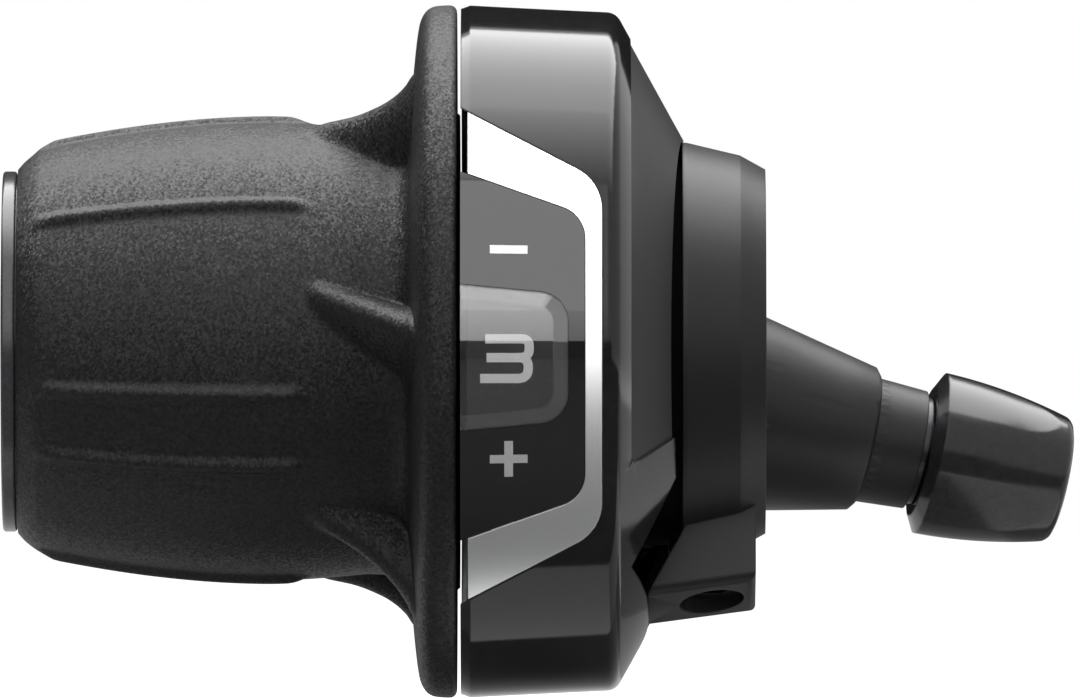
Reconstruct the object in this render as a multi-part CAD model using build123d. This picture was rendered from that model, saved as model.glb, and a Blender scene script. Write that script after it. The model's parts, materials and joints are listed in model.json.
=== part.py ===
from build123d import *
import os
from math import acos, cos, degrees, hypot, radians, sin, sqrt

# Left-hand twist grip shifter for a flat handlebar.
# Frame in millimetres: +X along the handlebar towards the stem, +Z up, -Y towards the rider.
# The origin is on the handlebar axis, in the plane of the housing's outboard edge.
# Angles around the bar start at the rider's side and grow upwards: 0 rider, 90 top, 180 front.

# Handlebar bore and the tubes around it
BAR_DIAMETER = 22.2
BAR_CLEARANCE = 0.05
TUBE_WALL = 1.25
RUNNING_CLEARANCE = 0.08
SLEEVE_WALL = 1.3
SEAT_GAP = 0.02

# Rubber grip
GRIP_LENGTH = 34.55
SEAM_GAP = 0.3
END_LIP_THICKNESS = 0.55
SHOULDER_LENGTH = 2.3
SHOULDER_THICKNESS = 2.3
SHOULDER_BULGE = 0.2
BELLY_THICKNESS = 4.37
BELLY_FROM_SEAM = 15.0
FLANGE_THICKNESS = 3.6
FLANGE_WALL_LEAN = 0.4
FLANGE_RIM_HEIGHT = 3.0
FLANGE_RIM_FLAT = 1.1
FLANGE_EDGE = 0.45
VALLEY_RADIUS = 2.0
GUSSET_COUNT = 6
GUSSET_ANGLE = 11.3
GUSSET_WIDTH = 4.0
GUSSET_LENGTH = 7.6
GUSSET_END_LEAN = 0.45
GUSSET_SLANT = 16.0
GUSSET_ROUNDING = 1.6
RIDGE_MIDDLE = -20.5
RIDGE_SPACING = 19.0
RIDGE_WIDTH = 2.2
RIDGE_HEIGHT = 0.45
RIDGE_END_INSET = 1.7
RIDGE_RUN_OUT = 2.2
RIDGE_FROM_SEAM = 12.2
RIDGE_ROUNDING = 0.4

# Grip sleeve, its end ring and the snap ring that keeps it on the bracket tube
END_RING_WIDTH = 1.1
END_RING_STEP = 0.4
END_RING_ROUNDING = 0.25
END_RING_GAP = 0.08
SLEEVE_REACH = 2.2
DOG_COUNT = 3
DOG_LENGTH = 1.4
DOG_ANGLE = 40.0
DOG_CLEARANCE_ANGLE = 0.4
SNAP_RING_THICKNESS = 0.6
SNAP_RING_HEIGHT = 1.0
SNAP_RING_GAP_ANGLE = 50.0
SNAP_GROOVE_DEPTH = 0.4
SNAP_SIDE_CLEARANCE = 0.06

# Winder drum
DRUM_HUB_WALL = 1.9
CABLE_DIAMETER = 1.2
GROOVE_WIDTH = 1.4
GROOVE_DEPTH = 1.7
RIM_WIDTH = 0.8
DETENT_STEP = 1.0
DETENT_RIM_WIDTH = 1.7
DRUM_END_HUB = 0.3
GEAR_COUNT = 3
GEAR_ANGLE = 28.0
NOTCH_RADIUS = 1.0
NIPPLE_DIAMETER = 4.0
NIPPLE_LENGTH = 4.0
NIPPLE_CLEARANCE = 0.1
NIPPLE_WALL = 0.9
NIPPLE_WRAP = 15.0

# Detent leaf spring and its posts
DETENT_ANGLE = 60.0
LEAF_THICKNESS = 0.35
LEAF_HALF_LENGTH = 7.6
LEAF_BUMP_CLEARANCE = 0.15
LEAF_LIFT = 0.5
POST_WIDTH = 2.2
POST_WALL = 0.9

# Number ring
MECHANISM_ROOM = 7.7
NUMBER_RING_WALL = 1.3
NUMBER_RING_WEB = 1.2
NUMBER_RING_EDGE = 0.5
NUMBER_RING_CLEARANCE = 0.4
NUMBER_SECTOR_CENTRE = -29.0
NUMBER_SECTOR_ANGLE = 102.0

# Housing shell
RING_GAP = 0.45
SHELL_WALL = 1.75
SHELL_LENGTH = 12.2
SHELL_DRAFT = 0.6
SHELL_EDGE_LENGTH = 0.75
SHELL_EDGE_DROP = 0.3
SHELL_SHOULDER_ROUNDING = 1.3
CONE_LENGTH = 5.55
COLLAR_GAP = 0.15
HOLE_OFFSET = 1.9
PLATE_START = 1.15
PLATE_DEPTH = 0.2
PLATE_ANGLES = (-21.5, 115.0)
PLATE_CORNER = 0.7
SHELL_SCREW_ANGLES = (122.0, 234.0)
SHELL_SCREW_OFFSET = 2.3
SHELL_SCREW_SHANK = 1.0
SHELL_SCREW_HEAD = 2.0
SHELL_SCREW_HEAD_HEIGHT = 1.3
SHELL_SCREW_TIP_INSET = 0.36
SHELL_SCREW_BOSS = 2.6
SHELL_SCREW_CLEARANCE = 0.15
SHELL_SCREW_CROSS_LENGTH = 2.6
SHELL_SCREW_CROSS_WIDTH = 0.6

# Cable port and its plug
PORT_ANGLE = 125.0
PORT_RADIUS = 2.9
PLUG_HEAD_RADIUS = 3.7
PLUG_HEAD_THICKNESS = 0.7
PLUG_SKIRT = 0.5

# Window: chrome trim, dark panel and the clear number window
WINDOW_CENTRE_Z = -0.35
TRIM_EDGE = 0.6
TRIM_MARGIN = 1.1
TRIM_LEFT_HALF = 19.05
TRIM_RIGHT_HALF = 13.6
TRIM_CORNER = 3.6
TRIM_THICKNESS = 1.5
TRIM_PROUD = 0.08
TRIM_BAND = 1.34
PANEL_LEFT_HALF = 14.45
PANEL_RIGHT_HALF = 11.0
PANEL_CORNER = 2.6
PANEL_THICKNESS = 1.45
VIEW_CENTRE_Z = -0.45
VIEW_MARGIN = 1.33
VIEW_LEFT_HALF = 5.74
VIEW_RIGHT_HALF = 4.95
VIEW_CORNER = 2.4
VIEW_PROUD = 0.3
VIEW_BEVEL_WIDTH = 1.1
VIEW_BEVEL_DROP = 0.28
WINDOW_FIT = 0.05

# Bracket: web, clamp collar and clamp lug
WEB_CLEARANCE = 0.8
WEB_THICKNESS = 1.7
WEB_RIM_GAP = 0.25
COLLAR_WALL = 5.3
COLLAR_LENGTH = 6.2
COLLAR_TAPER = 1.0
COLLAR_NOSE = 1.1
COLLAR_NOSE_LENGTH = 2.0
COLLAR_STEP = 1.2
COLLAR_STEP_BACK = 0.35
LUG_ANGLE = -70.0
LUG_HALF_WIDTH = 4.0
LUG_HEIGHT = 5.15
LUG_DROP = 1.2
LUG_END_INSET = 0.8
LUG_TOE = 3.1
LUG_ROUNDING = 0.8
POCKET_HALF_WIDTH = 11.0
POCKET_CLEARANCE = 0.3

# Clamp screw, bush and shoe
CLAMP_FROM_COLLAR_END = 4.25
CLAMP_SCREW_RADIUS = 2.5
CLAMP_SCREW_SOCKET = 2.5
CLAMP_SOCKET_DEPTH = 2.5
CLAMP_THREAD_CLEARANCE = 0.05
CLAMP_SCREW_SUNK = 0.6
CLAMP_BUSH_WALL = 0.85
CLAMP_BUSH_COVER = 1.7
SHOE_THICKNESS = 1.2
SHOE_LENGTH = 5.4
SHOE_ANGLE = 28.0
SHOE_CLEARANCE = 0.1

# Thrust washer
WASHER_THICKNESS = 0.6
WASHER_WIDTH = 3.4
WASHER_SEAT_GAP = 0.05

# Cable guide elbow
GUIDE_OUTER_RADIUS = 1.2
GUIDE_BORE_RADIUS = 0.75
GUIDE_BEND_RADIUS = 2.6
GUIDE_LEAD = 0.4
GUIDE_RIM_GAP = 0.3
GUIDE_ANGLE = 188.8

# Cable boss, neck and barrel adjuster
ADJUSTER_DROP_SLOPE = 0.212
ADJUSTER_OUT_SLOPE = 0.14
BOSS_RADIUS = 7.55
BOSS_TAPER = 0.22
BOSS_LENGTH = 8.4
BOSS_EDGE = 0.4
BOSS_SHELL_GAP = 0.25
NECK_RADIUS = 5.0
NECK_TAPER = 0.06
NECK_LENGTH = 4.0
INSERT_RADIUS = 3.4
INSERT_LENGTH = 9.0
INSERT_FLANGE_RADIUS = 4.3
INSERT_FLANGE = 0.5
ADJUSTER_THREAD_RADIUS = 2.5
ADJUSTER_THREAD_CLEARANCE = 0.05
ADJUSTER_THREAD_LENGTH = 7.5
ADJUSTER_HEAD_RADIUS = 3.6
ADJUSTER_HEAD_LENGTH = 10.9
KNOB_GAP = 0.12
KNOB_LENGTH = 11.4
KNOB_RADIUS = 6.5
KNOB_TIP_RADIUS = 4.9
KNOB_CHAMFER = 1.3
KNOB_CHAMFER_LENGTH = 0.7
KNOB_TIP_ROUNDING = 0.7
KNOB_FACET_COUNT = 4
KNOB_FACET_ANGLE = 32.0
KNOB_FACET_DEPTH = 0.25
KNOB_FACET_RADIUS = 10.0
KNOB_FACET_LEAN = 5.8
KNOB_CLEARANCE = 0.05
CASING_SOCKET_RADIUS = 2.55
CASING_SOCKET_LENGTH = 6.0

# Radii worked out from the bar outwards
bore_r = BAR_DIAMETER / 2 + BAR_CLEARANCE
tube_r = bore_r + TUBE_WALL
sleeve_in = tube_r + RUNNING_CLEARANCE
sleeve_r = sleeve_in + SLEEVE_WALL
groove_r = sleeve_in + DRUM_HUB_WALL
cable_r = groove_r + CABLE_DIAMETER / 2
drum_r = groove_r + GROOVE_DEPTH
detent_r = drum_r + DETENT_STEP
ring_in = drum_r + MECHANISM_ROOM
ring_r = ring_in + NUMBER_RING_WALL
shell_in = ring_r + RING_GAP
shell_r = shell_in + SHELL_WALL
front_r = shell_r - SHELL_DRAFT
collar_r = bore_r + COLLAR_WALL
hole_r = collar_r + COLLAR_GAP
lug_r = collar_r + LUG_HEIGHT
screw_r = hole_r + SHELL_SCREW_OFFSET

# Places along the bar
rubber_face_x = -SEAM_GAP
rubber_end_x = rubber_face_x - GRIP_LENGTH
ring_face_x = rubber_end_x - END_RING_GAP
grip_end_x = ring_face_x - END_RING_WIDTH
belly_x = rubber_face_x - BELLY_FROM_SEAM
shoulder_x = rubber_end_x + SHOULDER_LENGTH
flange_x = rubber_face_x - FLANGE_THICKNESS
drum_x = SLEEVE_REACH + SEAT_GAP
dog_end_x = SLEEVE_REACH + DOG_LENGTH
rim_x = drum_x + DOG_LENGTH
groove_x = rim_x + RIM_WIDTH + GROOVE_WIDTH / 2
nipple_half = NIPPLE_DIAMETER / 2 + NIPPLE_CLEARANCE
nipple_boss_half = nipple_half + NIPPLE_WALL
detent_x = groove_x + nipple_boss_half + LEAF_LIFT
drum_end_x = detent_x + DETENT_RIM_WIDTH + DRUM_END_HUB
web_x = drum_end_x + WEB_CLEARANCE
web_end_x = web_x + WEB_THICKNESS
cone_x = SHELL_LENGTH + CONE_LENGTH
collar_x = cone_x + COLLAR_LENGTH
clamp_x = collar_x - CLAMP_FROM_COLLAR_END
trim_right_x = SHELL_LENGTH - TRIM_MARGIN
panel_right_x = trim_right_x - TRIM_BAND
view_right_x = panel_right_x - VIEW_MARGIN

# Shell cone: outer and inner radius at a place along the bar
cone_slope = (front_r - hole_r) / CONE_LENGTH
cone_wall_shift = SHELL_WALL * hypot(1, cone_slope) / cone_slope
inner_end_x = cone_x - cone_wall_shift
inner_turn_x = inner_end_x - (shell_in - hole_r) / cone_slope
number_end_x = inner_turn_x - NUMBER_RING_CLEARANCE

# Cable run: off the drum on a tangent, round the elbow and out along the adjuster
guide_reach = sqrt((drum_r + GUIDE_RIM_GAP + GUIDE_OUTER_RADIUS) ** 2 - cable_r**2)
guide_run = guide_reach + GUIDE_LEAD + GUIDE_BEND_RADIUS
guide_r = hypot(cable_r, guide_run)
tangent_angle = GUIDE_ANGLE - degrees(acos(cable_r / guide_r))
nipple_angle = tangent_angle - NIPPLE_WRAP - GEAR_ANGLE * (GEAR_COUNT - 1)
boss_end = BOSS_LENGTH
neck_end = boss_end + NECK_LENGTH
flange_end = neck_end + INSERT_FLANGE
knob_start = flange_end + KNOB_GAP
knob_end = knob_start + KNOB_LENGTH
adjuster_end = knob_start + ADJUSTER_HEAD_LENGTH


def shell_outer(x):
    """Radius of the housing's outer face at a place along the bar."""
    if x <= SHELL_LENGTH:
        return shell_r - SHELL_DRAFT * x / SHELL_LENGTH
    return front_r - cone_slope * (x - SHELL_LENGTH)


def cone_inner(x):
    """Radius of the cone's inner face at a place along the bar."""
    return front_r - cone_slope * (x + cone_wall_shift - SHELL_LENGTH)


def grip_radius(x):
    """Radius of the plain grip: fullest at the belly, falling away as a parabola."""
    fall = BELLY_THICKNESS - SHOULDER_THICKNESS
    return sleeve_r + BELLY_THICKNESS - fall * ((x - belly_x) / (shoulder_x - belly_x)) ** 2


def at(x, radius, angle):
    """Point at a place along the bar, a radius and an angle around it."""
    return Vector(x, -radius * cos(radians(angle)), radius * sin(radians(angle)))


def around(shape, angle):
    """Carry a shape made on the rider's side round the bar to an angle."""
    return Rot(X=-angle) * shape


def turned(*corners):
    """Solid of revolution about the bar from corners given as (x, radius)."""
    return revolve(make_face(Polyline(*corners, close=True)), Axis.X)


def tube(x_low, x_high, r_in, r_out):
    """Round tube about the bar axis."""
    return turned((x_low, r_in), (x_low, r_out), (x_high, r_out), (x_high, r_in))


def sector(x_low, x_high, r_in, r_out, centre, spread):
    """Part of a tube about the bar, spread evenly about an angle."""
    corners = ((x_low, -r_in), (x_low, -r_out), (x_high, -r_out), (x_high, -r_in))
    section = make_face(Polyline(*corners, close=True))
    return around(revolve(section, Axis.X, revolution_arc=spread), centre + spread / 2)


def rod(x_low, x_high, radius, at_radius, angle):
    """Round rod parallel to the bar."""
    plane = Plane(at(x_low, at_radius, angle), x_dir=(0, 1, 0), z_dir=(1, 0, 0))
    return extrude(plane * Circle(radius), x_high - x_low)


def spoke(x, angle, r_low, r_high, radius):
    """Round rod that points straight out from the bar axis."""
    plane = Plane(at(x, r_low, angle), x_dir=(1, 0, 0), z_dir=at(0, 1, angle))
    return extrude(plane * Circle(radius), r_high - r_low)


def block(x_low, x_high, r_low, r_high, half_width, angle):
    """Box that stands out from the bar at an angle."""
    size = (x_high - x_low, r_high - r_low, 2 * half_width)
    centre = ((x_low + x_high) / 2, -(r_low + r_high) / 2, 0)
    return around(Pos(*centre) * Box(*size), angle)


def outline(*corners):
    """Face on the front plane; a corner is (x, z), or (x, z, rounding)."""
    points = [corner[:2] for corner in corners]
    shape = Sketch() + make_face(Polyline(*points, close=True))
    for x, z, rounding in [corner for corner in corners if len(corner) == 3]:
        vertex = shape.vertices().sort_by_distance((x, z))[0]
        shape = fillet(vertex, rounding)
    return shape


def through_front(shape):
    """Prism of a front outline, from the bar axis towards the rider."""
    return extrude(Plane.XZ * shape, shell_r + TRIM_EDGE)


def skin(x_low, x_high, proud, depth):
    """Layer that follows the housing's front wall, from proud of it down to a depth."""
    return turned(
        (x_low, shell_outer(x_low) - depth),
        (x_low, shell_outer(x_low) + proud),
        (x_high, shell_outer(x_high) + proud),
        (x_high, shell_outer(x_high) - depth),
    )


def adjuster_plane():
    """Plane across the adjuster axis at the collar's end, facing outwards."""
    direction = Vector(1, ADJUSTER_OUT_SLOPE, -ADJUSTER_DROP_SLOPE)
    origin = at(web_end_x, guide_r, GUIDE_ANGLE) + direction * (collar_x - web_end_x)
    return Plane(origin, x_dir=(0, -1, 0), z_dir=direction)


def on_adjuster(*corners):
    """Solid of revolution about the adjuster axis from corners given as (radius, distance)."""
    section = Plane.XZ * make_face(Polyline(*corners, close=True))
    return adjuster_plane().location * revolve(section, Axis.Z)


def boss_root():
    """Distance along the adjuster axis at which it meets the web."""
    return -(collar_x - web_end_x) * hypot(1, ADJUSTER_OUT_SLOPE, ADJUSTER_DROP_SLOPE)


def boss_body(gap):
    """Tapered cable boss, grown by a gap, kept inside the housing's own radius."""
    root = boss_root()
    wide = BOSS_RADIUS - BOSS_TAPER * 2 * root + gap
    narrow = BOSS_RADIUS - BOSS_TAPER * boss_end + gap
    cone = on_adjuster(
        (0, 2 * root),
        (wide, 2 * root),
        (narrow + BOSS_TAPER * BOSS_EDGE, boss_end - BOSS_EDGE),
        (narrow - BOSS_EDGE, boss_end),
        (0, boss_end),
    )
    return cone & tube(web_end_x - SEAT_GAP, collar_x + neck_end, 0, front_r + gap)


def lug_body():
    """Clamp lug: a radial block whose toe follows the cone and whose end face slopes."""
    lug_end_x = collar_x - LUG_END_INSET
    toe_x = cone_x - LUG_TOE
    root_x = cone_x - COLLAR_STEP_BACK
    side = make_face(
        Polyline(
            (root_x, -bore_r - TUBE_WALL),
            (root_x, -collar_r),
            (toe_x, -lug_r),
            (lug_end_x, -(lug_r - LUG_DROP)),
            (lug_end_x, -bore_r - TUBE_WALL),
            close=True,
        )
    )
    lug = extrude(side, LUG_HALF_WIDTH, both=True)
    outer = lug.edges().filter_by(lambda edge: edge.center().Y < -collar_r and edge.center().X > root_x)
    return around(fillet(outer, LUG_ROUNDING), LUG_ANGLE)


def leaf_shape(x_low, x_high, room):
    """Detent leaf with its half-round bump, grown by a room for its slots."""
    lift = detent_r + LEAF_LIFT
    half = LEAF_HALF_LENGTH + room
    bump_out = NOTCH_RADIUS - LEAF_BUMP_CLEARANCE
    strip = Pos(-lift - LEAF_THICKNESS / 2, 0) * Rectangle(LEAF_THICKNESS + 2 * room, 2 * half)
    bump = Pos(-lift, 0) * (Circle(bump_out) - Circle(bump_out - LEAF_THICKNESS))
    upper = Pos(-lift - bump_out, 0) * Rectangle(2 * bump_out, 2 * bump_out)
    opening = Pos(-lift, 0) * Circle(bump_out - LEAF_THICKNESS)
    profile = strip - opening + (bump - upper)
    plane = Plane((x_low, 0, 0), x_dir=(0, 1, 0), z_dir=(1, 0, 0))
    return around(extrude(plane * profile, x_high - x_low), DETENT_ANGLE)


def leaf_span():
    """Places along the bar between which the leaf lies, over the detent rim."""
    return detent_x, detent_x + DETENT_RIM_WIDTH


def spring_posts():
    """Two slotted posts that stand on the web and hold the leaf's ends."""
    leaf_low, leaf_high = leaf_span()
    lift = detent_r + LEAF_LIFT
    posts = Part()
    for side in (-1, 1):
        middle = side * (LEAF_HALF_LENGTH - POST_WIDTH / 2 + POST_WALL)
        size = (web_x - leaf_low, LEAF_THICKNESS + 2 * POST_WALL, POST_WIDTH)
        centre = ((web_x + leaf_low) / 2, -(lift + LEAF_THICKNESS / 2), middle)
        posts += around(Pos(*centre) * Box(*size), DETENT_ANGLE)
    return posts - leaf_shape(leaf_low - POST_WALL, leaf_high + SEAT_GAP, SEAT_GAP)


def make_bracket():
    """Fixed bracket: tube, web, clamp collar with its lug, cable boss and neck."""
    taper_x = collar_x - COLLAR_NOSE_LENGTH
    step_x = cone_x - COLLAR_STEP_BACK
    web_r = cone_inner(web_end_x) - WEB_RIM_GAP
    body = turned(
        (grip_end_x, bore_r),
        (grip_end_x, tube_r),
        (web_x, tube_r),
        (web_x, web_r),
        (web_end_x, web_r),
        (web_end_x, collar_r - COLLAR_STEP),
        (step_x, collar_r - COLLAR_STEP),
        (step_x, collar_r),
        (cone_x, collar_r),
        (taper_x, collar_r - COLLAR_TAPER),
        (collar_x, collar_r - COLLAR_TAPER - COLLAR_NOSE),
        (collar_x, bore_r),
    )
    neck_tip = NECK_RADIUS - NECK_TAPER * NECK_LENGTH
    body += boss_body(0)
    body += on_adjuster(
        (0, 0),
        (NECK_RADIUS, 0),
        (NECK_RADIUS, boss_end),
        (neck_tip, neck_end),
        (0, neck_end),
    )
    body += lug_body()
    body += spring_posts()
    under_cone = turned(
        (web_x, 0),
        (web_x, cone_inner(web_x) - WEB_RIM_GAP),
        (cone_x, cone_inner(cone_x) - WEB_RIM_GAP),
        (cone_x, 0),
    )
    for angle in SHELL_SCREW_ANGLES:
        post = rod(web_x, screw_joint_x() - SEAT_GAP, SHELL_SCREW_BOSS, screw_r, angle)
        body += post & under_cone
        body -= rod(web_x - SEAT_GAP, cone_x, SHELL_SCREW_SHANK + SEAT_GAP, screw_r, angle)
    body -= tube(grip_end_x - SEAM_GAP, collar_x + SEAM_GAP, 0, bore_r)
    snap_low, snap_high = snap_span()
    groove_low = snap_low - SNAP_SIDE_CLEARANCE
    groove_high = snap_high + SNAP_SIDE_CLEARANCE
    body -= tube(groove_low, groove_high, tube_r - SNAP_GROOVE_DEPTH, sleeve_in)
    body -= on_adjuster(
        (0, neck_end - INSERT_LENGTH),
        (INSERT_RADIUS + SEAT_GAP, neck_end - INSERT_LENGTH),
        (INSERT_RADIUS + SEAT_GAP, neck_end + SEAM_GAP),
        (0, neck_end + SEAM_GAP),
    )
    body -= on_adjuster(
        (0, boss_root() * 2),
        (GUIDE_BORE_RADIUS, boss_root() * 2),
        (GUIDE_BORE_RADIUS, neck_end),
        (0, neck_end),
    )
    body -= rod(web_x - SEAT_GAP, web_end_x, GUIDE_OUTER_RADIUS + SEAT_GAP, guide_r, GUIDE_ANGLE)
    body -= clamp_hollow()
    return body


def clamp_hollow():
    """Room in the lug for the clamp screw, its bush and the shoe."""
    shoe_top = bore_r + SHOE_THICKNESS + SHOE_CLEARANCE
    bush_end = lug_r - CLAMP_BUSH_COVER - LUG_DROP
    shoe_half = SHOE_LENGTH / 2 + SHOE_CLEARANCE
    shoe_spread = SHOE_ANGLE + degrees(2 * SHOE_CLEARANCE / bore_r)
    low_x = clamp_x - shoe_half
    high_x = clamp_x + shoe_half
    screw_room = CLAMP_SCREW_RADIUS + CLAMP_THREAD_CLEARANCE
    hollow = sector(low_x, high_x, bore_r - SEAM_GAP, shoe_top, LUG_ANGLE, shoe_spread)
    hollow += spoke(clamp_x, LUG_ANGLE, bore_r, bush_end + SEAT_GAP, bush_radius() + SEAT_GAP)
    hollow += spoke(clamp_x, LUG_ANGLE, bore_r, lug_r + SEAM_GAP, screw_room)
    return hollow


def bush_radius():
    """Outer radius of the threaded clamp bush."""
    return CLAMP_SCREW_RADIUS + CLAMP_THREAD_CLEARANCE + CLAMP_BUSH_WALL


def make_clamp_bush():
    """Threaded steel bush held in the lug from the bore side."""
    low = bore_r + SHOE_THICKNESS + SHOE_CLEARANCE + SEAT_GAP
    high = lug_r - CLAMP_BUSH_COVER - LUG_DROP
    hole = CLAMP_SCREW_RADIUS + CLAMP_THREAD_CLEARANCE
    body = spoke(clamp_x, LUG_ANGLE, low, high, bush_radius())
    body -= spoke(clamp_x, LUG_ANGLE, low - SEAM_GAP, high + SEAM_GAP, hole)
    return body & tube(web_x, collar_x, low, lug_r)


def make_clamp_screw():
    """Hex-socket grub screw that presses the shoe against the handlebar."""
    low = bore_r + SHOE_THICKNESS + SEAT_GAP
    high = lug_r - LUG_DROP - CLAMP_SCREW_SUNK
    body = spoke(clamp_x, LUG_ANGLE, low, high, CLAMP_SCREW_RADIUS)
    socket_floor = at(clamp_x, high - CLAMP_SOCKET_DEPTH, LUG_ANGLE)
    plane = Plane(socket_floor, x_dir=(1, 0, 0), z_dir=at(0, 1, LUG_ANGLE))
    hexagon = RegularPolygon(CLAMP_SCREW_SOCKET / 2, 6, major_radius=False)
    return body - extrude(plane * hexagon, CLAMP_SOCKET_DEPTH + SEAM_GAP)


def make_clamp_shoe():
    """Curved steel pad between the clamp screw and the handlebar."""
    half = SHOE_LENGTH / 2
    return sector(
        clamp_x - half, clamp_x + half, bore_r + SEAT_GAP, bore_r + SHOE_THICKNESS, LUG_ANGLE, SHOE_ANGLE
    )


def screw_seat_x():
    """Place along the bar at which the shell screws' heads seat."""
    return SHELL_LENGTH + (front_r - screw_r) / cone_slope - SHELL_SCREW_HEAD_HEIGHT


def screw_joint_x():
    """Place along the bar at which the shell's screw posts meet the bracket's."""
    return (web_end_x + screw_seat_x()) / 2


def make_shell_screws():
    """Two cross-head screws that hold the shell to the bracket."""
    seat = screw_seat_x()
    screws = []
    for angle in SHELL_SCREW_ANGLES:
        screw = rod(seat, seat + SHELL_SCREW_HEAD_HEIGHT, SHELL_SCREW_HEAD, screw_r, angle)
        screw += rod(web_x + SHELL_SCREW_TIP_INSET, seat, SHELL_SCREW_SHANK, screw_r, angle)
        slot = Box(SHELL_SCREW_HEAD_HEIGHT, SHELL_SCREW_CROSS_LENGTH, SHELL_SCREW_CROSS_WIDTH)
        slot += Box(SHELL_SCREW_HEAD_HEIGHT, SHELL_SCREW_CROSS_WIDTH, SHELL_SCREW_CROSS_LENGTH)
        centre = at(seat + SHELL_SCREW_HEAD_HEIGHT, screw_r, angle)
        screws.append(screw - Pos(centre) * slot)
    return Compound(children=screws)


def make_housing_shell():
    """Gloss outer shell: drafted front ring and cone, with its openings."""
    shell = turned(
        (0, shell_in),
        (0, shell_r - SHELL_EDGE_DROP),
        (SHELL_EDGE_LENGTH, shell_outer(SHELL_EDGE_LENGTH)),
        (SHELL_LENGTH, front_r),
        (cone_x, hole_r),
        (inner_end_x, hole_r),
        (inner_turn_x, shell_in),
    )
    corner = shell.edges().filter_by(GeomType.CIRCLE).filter_by(lambda edge: edge.radius > shell_in)
    shoulder = corner.sort_by(lambda edge: edge.center().X)[-1]
    shell = fillet(shoulder, SHELL_SHOULDER_ROUNDING)
    seat = screw_seat_x()
    for angle in SHELL_SCREW_ANGLES:
        post = rod(screw_joint_x(), cone_x, SHELL_SCREW_BOSS, screw_r, angle)
        shell += post & turned((0, 0), (0, front_r), (SHELL_LENGTH, front_r), (cone_x, hole_r), (cone_x, 0))
        shell -= rod(seat, cone_x, SHELL_SCREW_HEAD + SHELL_SCREW_CLEARANCE, screw_r, angle)
        shank_room = SHELL_SCREW_SHANK + SHELL_SCREW_CLEARANCE
        shell -= rod(web_x, cone_x, shank_room, screw_r, angle)
    shell -= tube(web_x, collar_x, 0, hole_r)
    shell -= through_front(outline(*trim_corners(-TRIM_EDGE)))
    shell -= Pos(0, -HOLE_OFFSET, 0) * tube(web_x, cone_x, 0, hole_r)
    shell -= block(web_end_x, collar_x, 0, lug_r + POCKET_CLEARANCE, POCKET_HALF_WIDTH, LUG_ANGLE)
    shell -= boss_body(BOSS_SHELL_GAP)
    shell -= rod(web_x, web_end_x, GUIDE_OUTER_RADIUS + BOSS_SHELL_GAP, guide_r, GUIDE_ANGLE)
    shell -= plate_recess()
    shell -= spoke(groove_x, PORT_ANGLE, ring_r, shell_r + SEAM_GAP, PORT_RADIUS + SEAT_GAP)
    return shell


def plate_recess():
    """Shallow band on the cone, from below the rider's side up over the top."""
    low = SHELL_LENGTH + PLATE_START
    across = PLATE_DEPTH * hypot(1, cone_slope)
    spread = PLATE_ANGLES[1] - PLATE_ANGLES[0]
    section = make_face(
        Polyline(
            (low, across - shell_outer(low)),
            (low, -shell_r),
            (collar_x, -shell_r),
            (collar_x, across - shell_outer(collar_x)),
            close=True,
        )
    )
    recess = revolve(section, Axis.X, revolution_arc=spread)
    corners = recess.edges().filter_by(GeomType.LINE).group_by(Axis.X)[0]
    return around(fillet(corners, PLATE_CORNER), PLATE_ANGLES[1])


def make_cable_port_plug():
    """Rubber plug in the port through which the gear cable is threaded."""
    top = shell_outer(groove_x)
    low = top - SHELL_WALL - PLUG_SKIRT
    plug = spoke(groove_x, PORT_ANGLE, low, top + PLUG_HEAD_THICKNESS, PORT_RADIUS)
    head = spoke(groove_x, PORT_ANGLE, top - SEAT_GAP, top + PLUG_HEAD_THICKNESS, PLUG_HEAD_RADIUS)
    clear = tube(0, SHELL_LENGTH, shell_r + SEAT_GAP, shell_r + PLUG_HEAD_RADIUS)
    return plug + (head & clear)


def trim_corners(left):
    """Corners of the window trim's outer outline, from a left edge."""
    slope = (TRIM_LEFT_HALF - TRIM_RIGHT_HALF) / (trim_right_x - TRIM_EDGE)
    half = TRIM_LEFT_HALF + slope * (TRIM_EDGE - left)
    return (
        (left, WINDOW_CENTRE_Z - half),
        (trim_right_x, WINDOW_CENTRE_Z - TRIM_RIGHT_HALF, TRIM_CORNER),
        (trim_right_x, WINDOW_CENTRE_Z + TRIM_RIGHT_HALF, TRIM_CORNER),
        (left, WINDOW_CENTRE_Z + half),
    )


def panel_corners(left):
    """Corners of the dark panel's outline, from a left edge."""
    slope = (PANEL_LEFT_HALF - PANEL_RIGHT_HALF) / panel_right_x
    half = PANEL_LEFT_HALF - slope * left
    return (
        (left, WINDOW_CENTRE_Z - half),
        (panel_right_x, WINDOW_CENTRE_Z - PANEL_RIGHT_HALF, PANEL_CORNER),
        (panel_right_x, WINDOW_CENTRE_Z + PANEL_RIGHT_HALF, PANEL_CORNER),
        (left, WINDOW_CENTRE_Z + half),
    )


def view_corners(left):
    """Corners of the clear number window's outline, from a left edge."""
    slope = (VIEW_LEFT_HALF - VIEW_RIGHT_HALF) / view_right_x
    half = VIEW_LEFT_HALF - slope * left
    return (
        (left, VIEW_CENTRE_Z - half),
        (view_right_x, VIEW_CENTRE_Z - VIEW_RIGHT_HALF, VIEW_CORNER),
        (view_right_x, VIEW_CENTRE_Z + VIEW_RIGHT_HALF, VIEW_CORNER),
        (left, VIEW_CENTRE_Z + half),
    )


def inset(shape, gap):
    """Front outline drawn in by a gap."""
    return offset(shape, -gap, kind=Kind.INTERSECTION)


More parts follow.
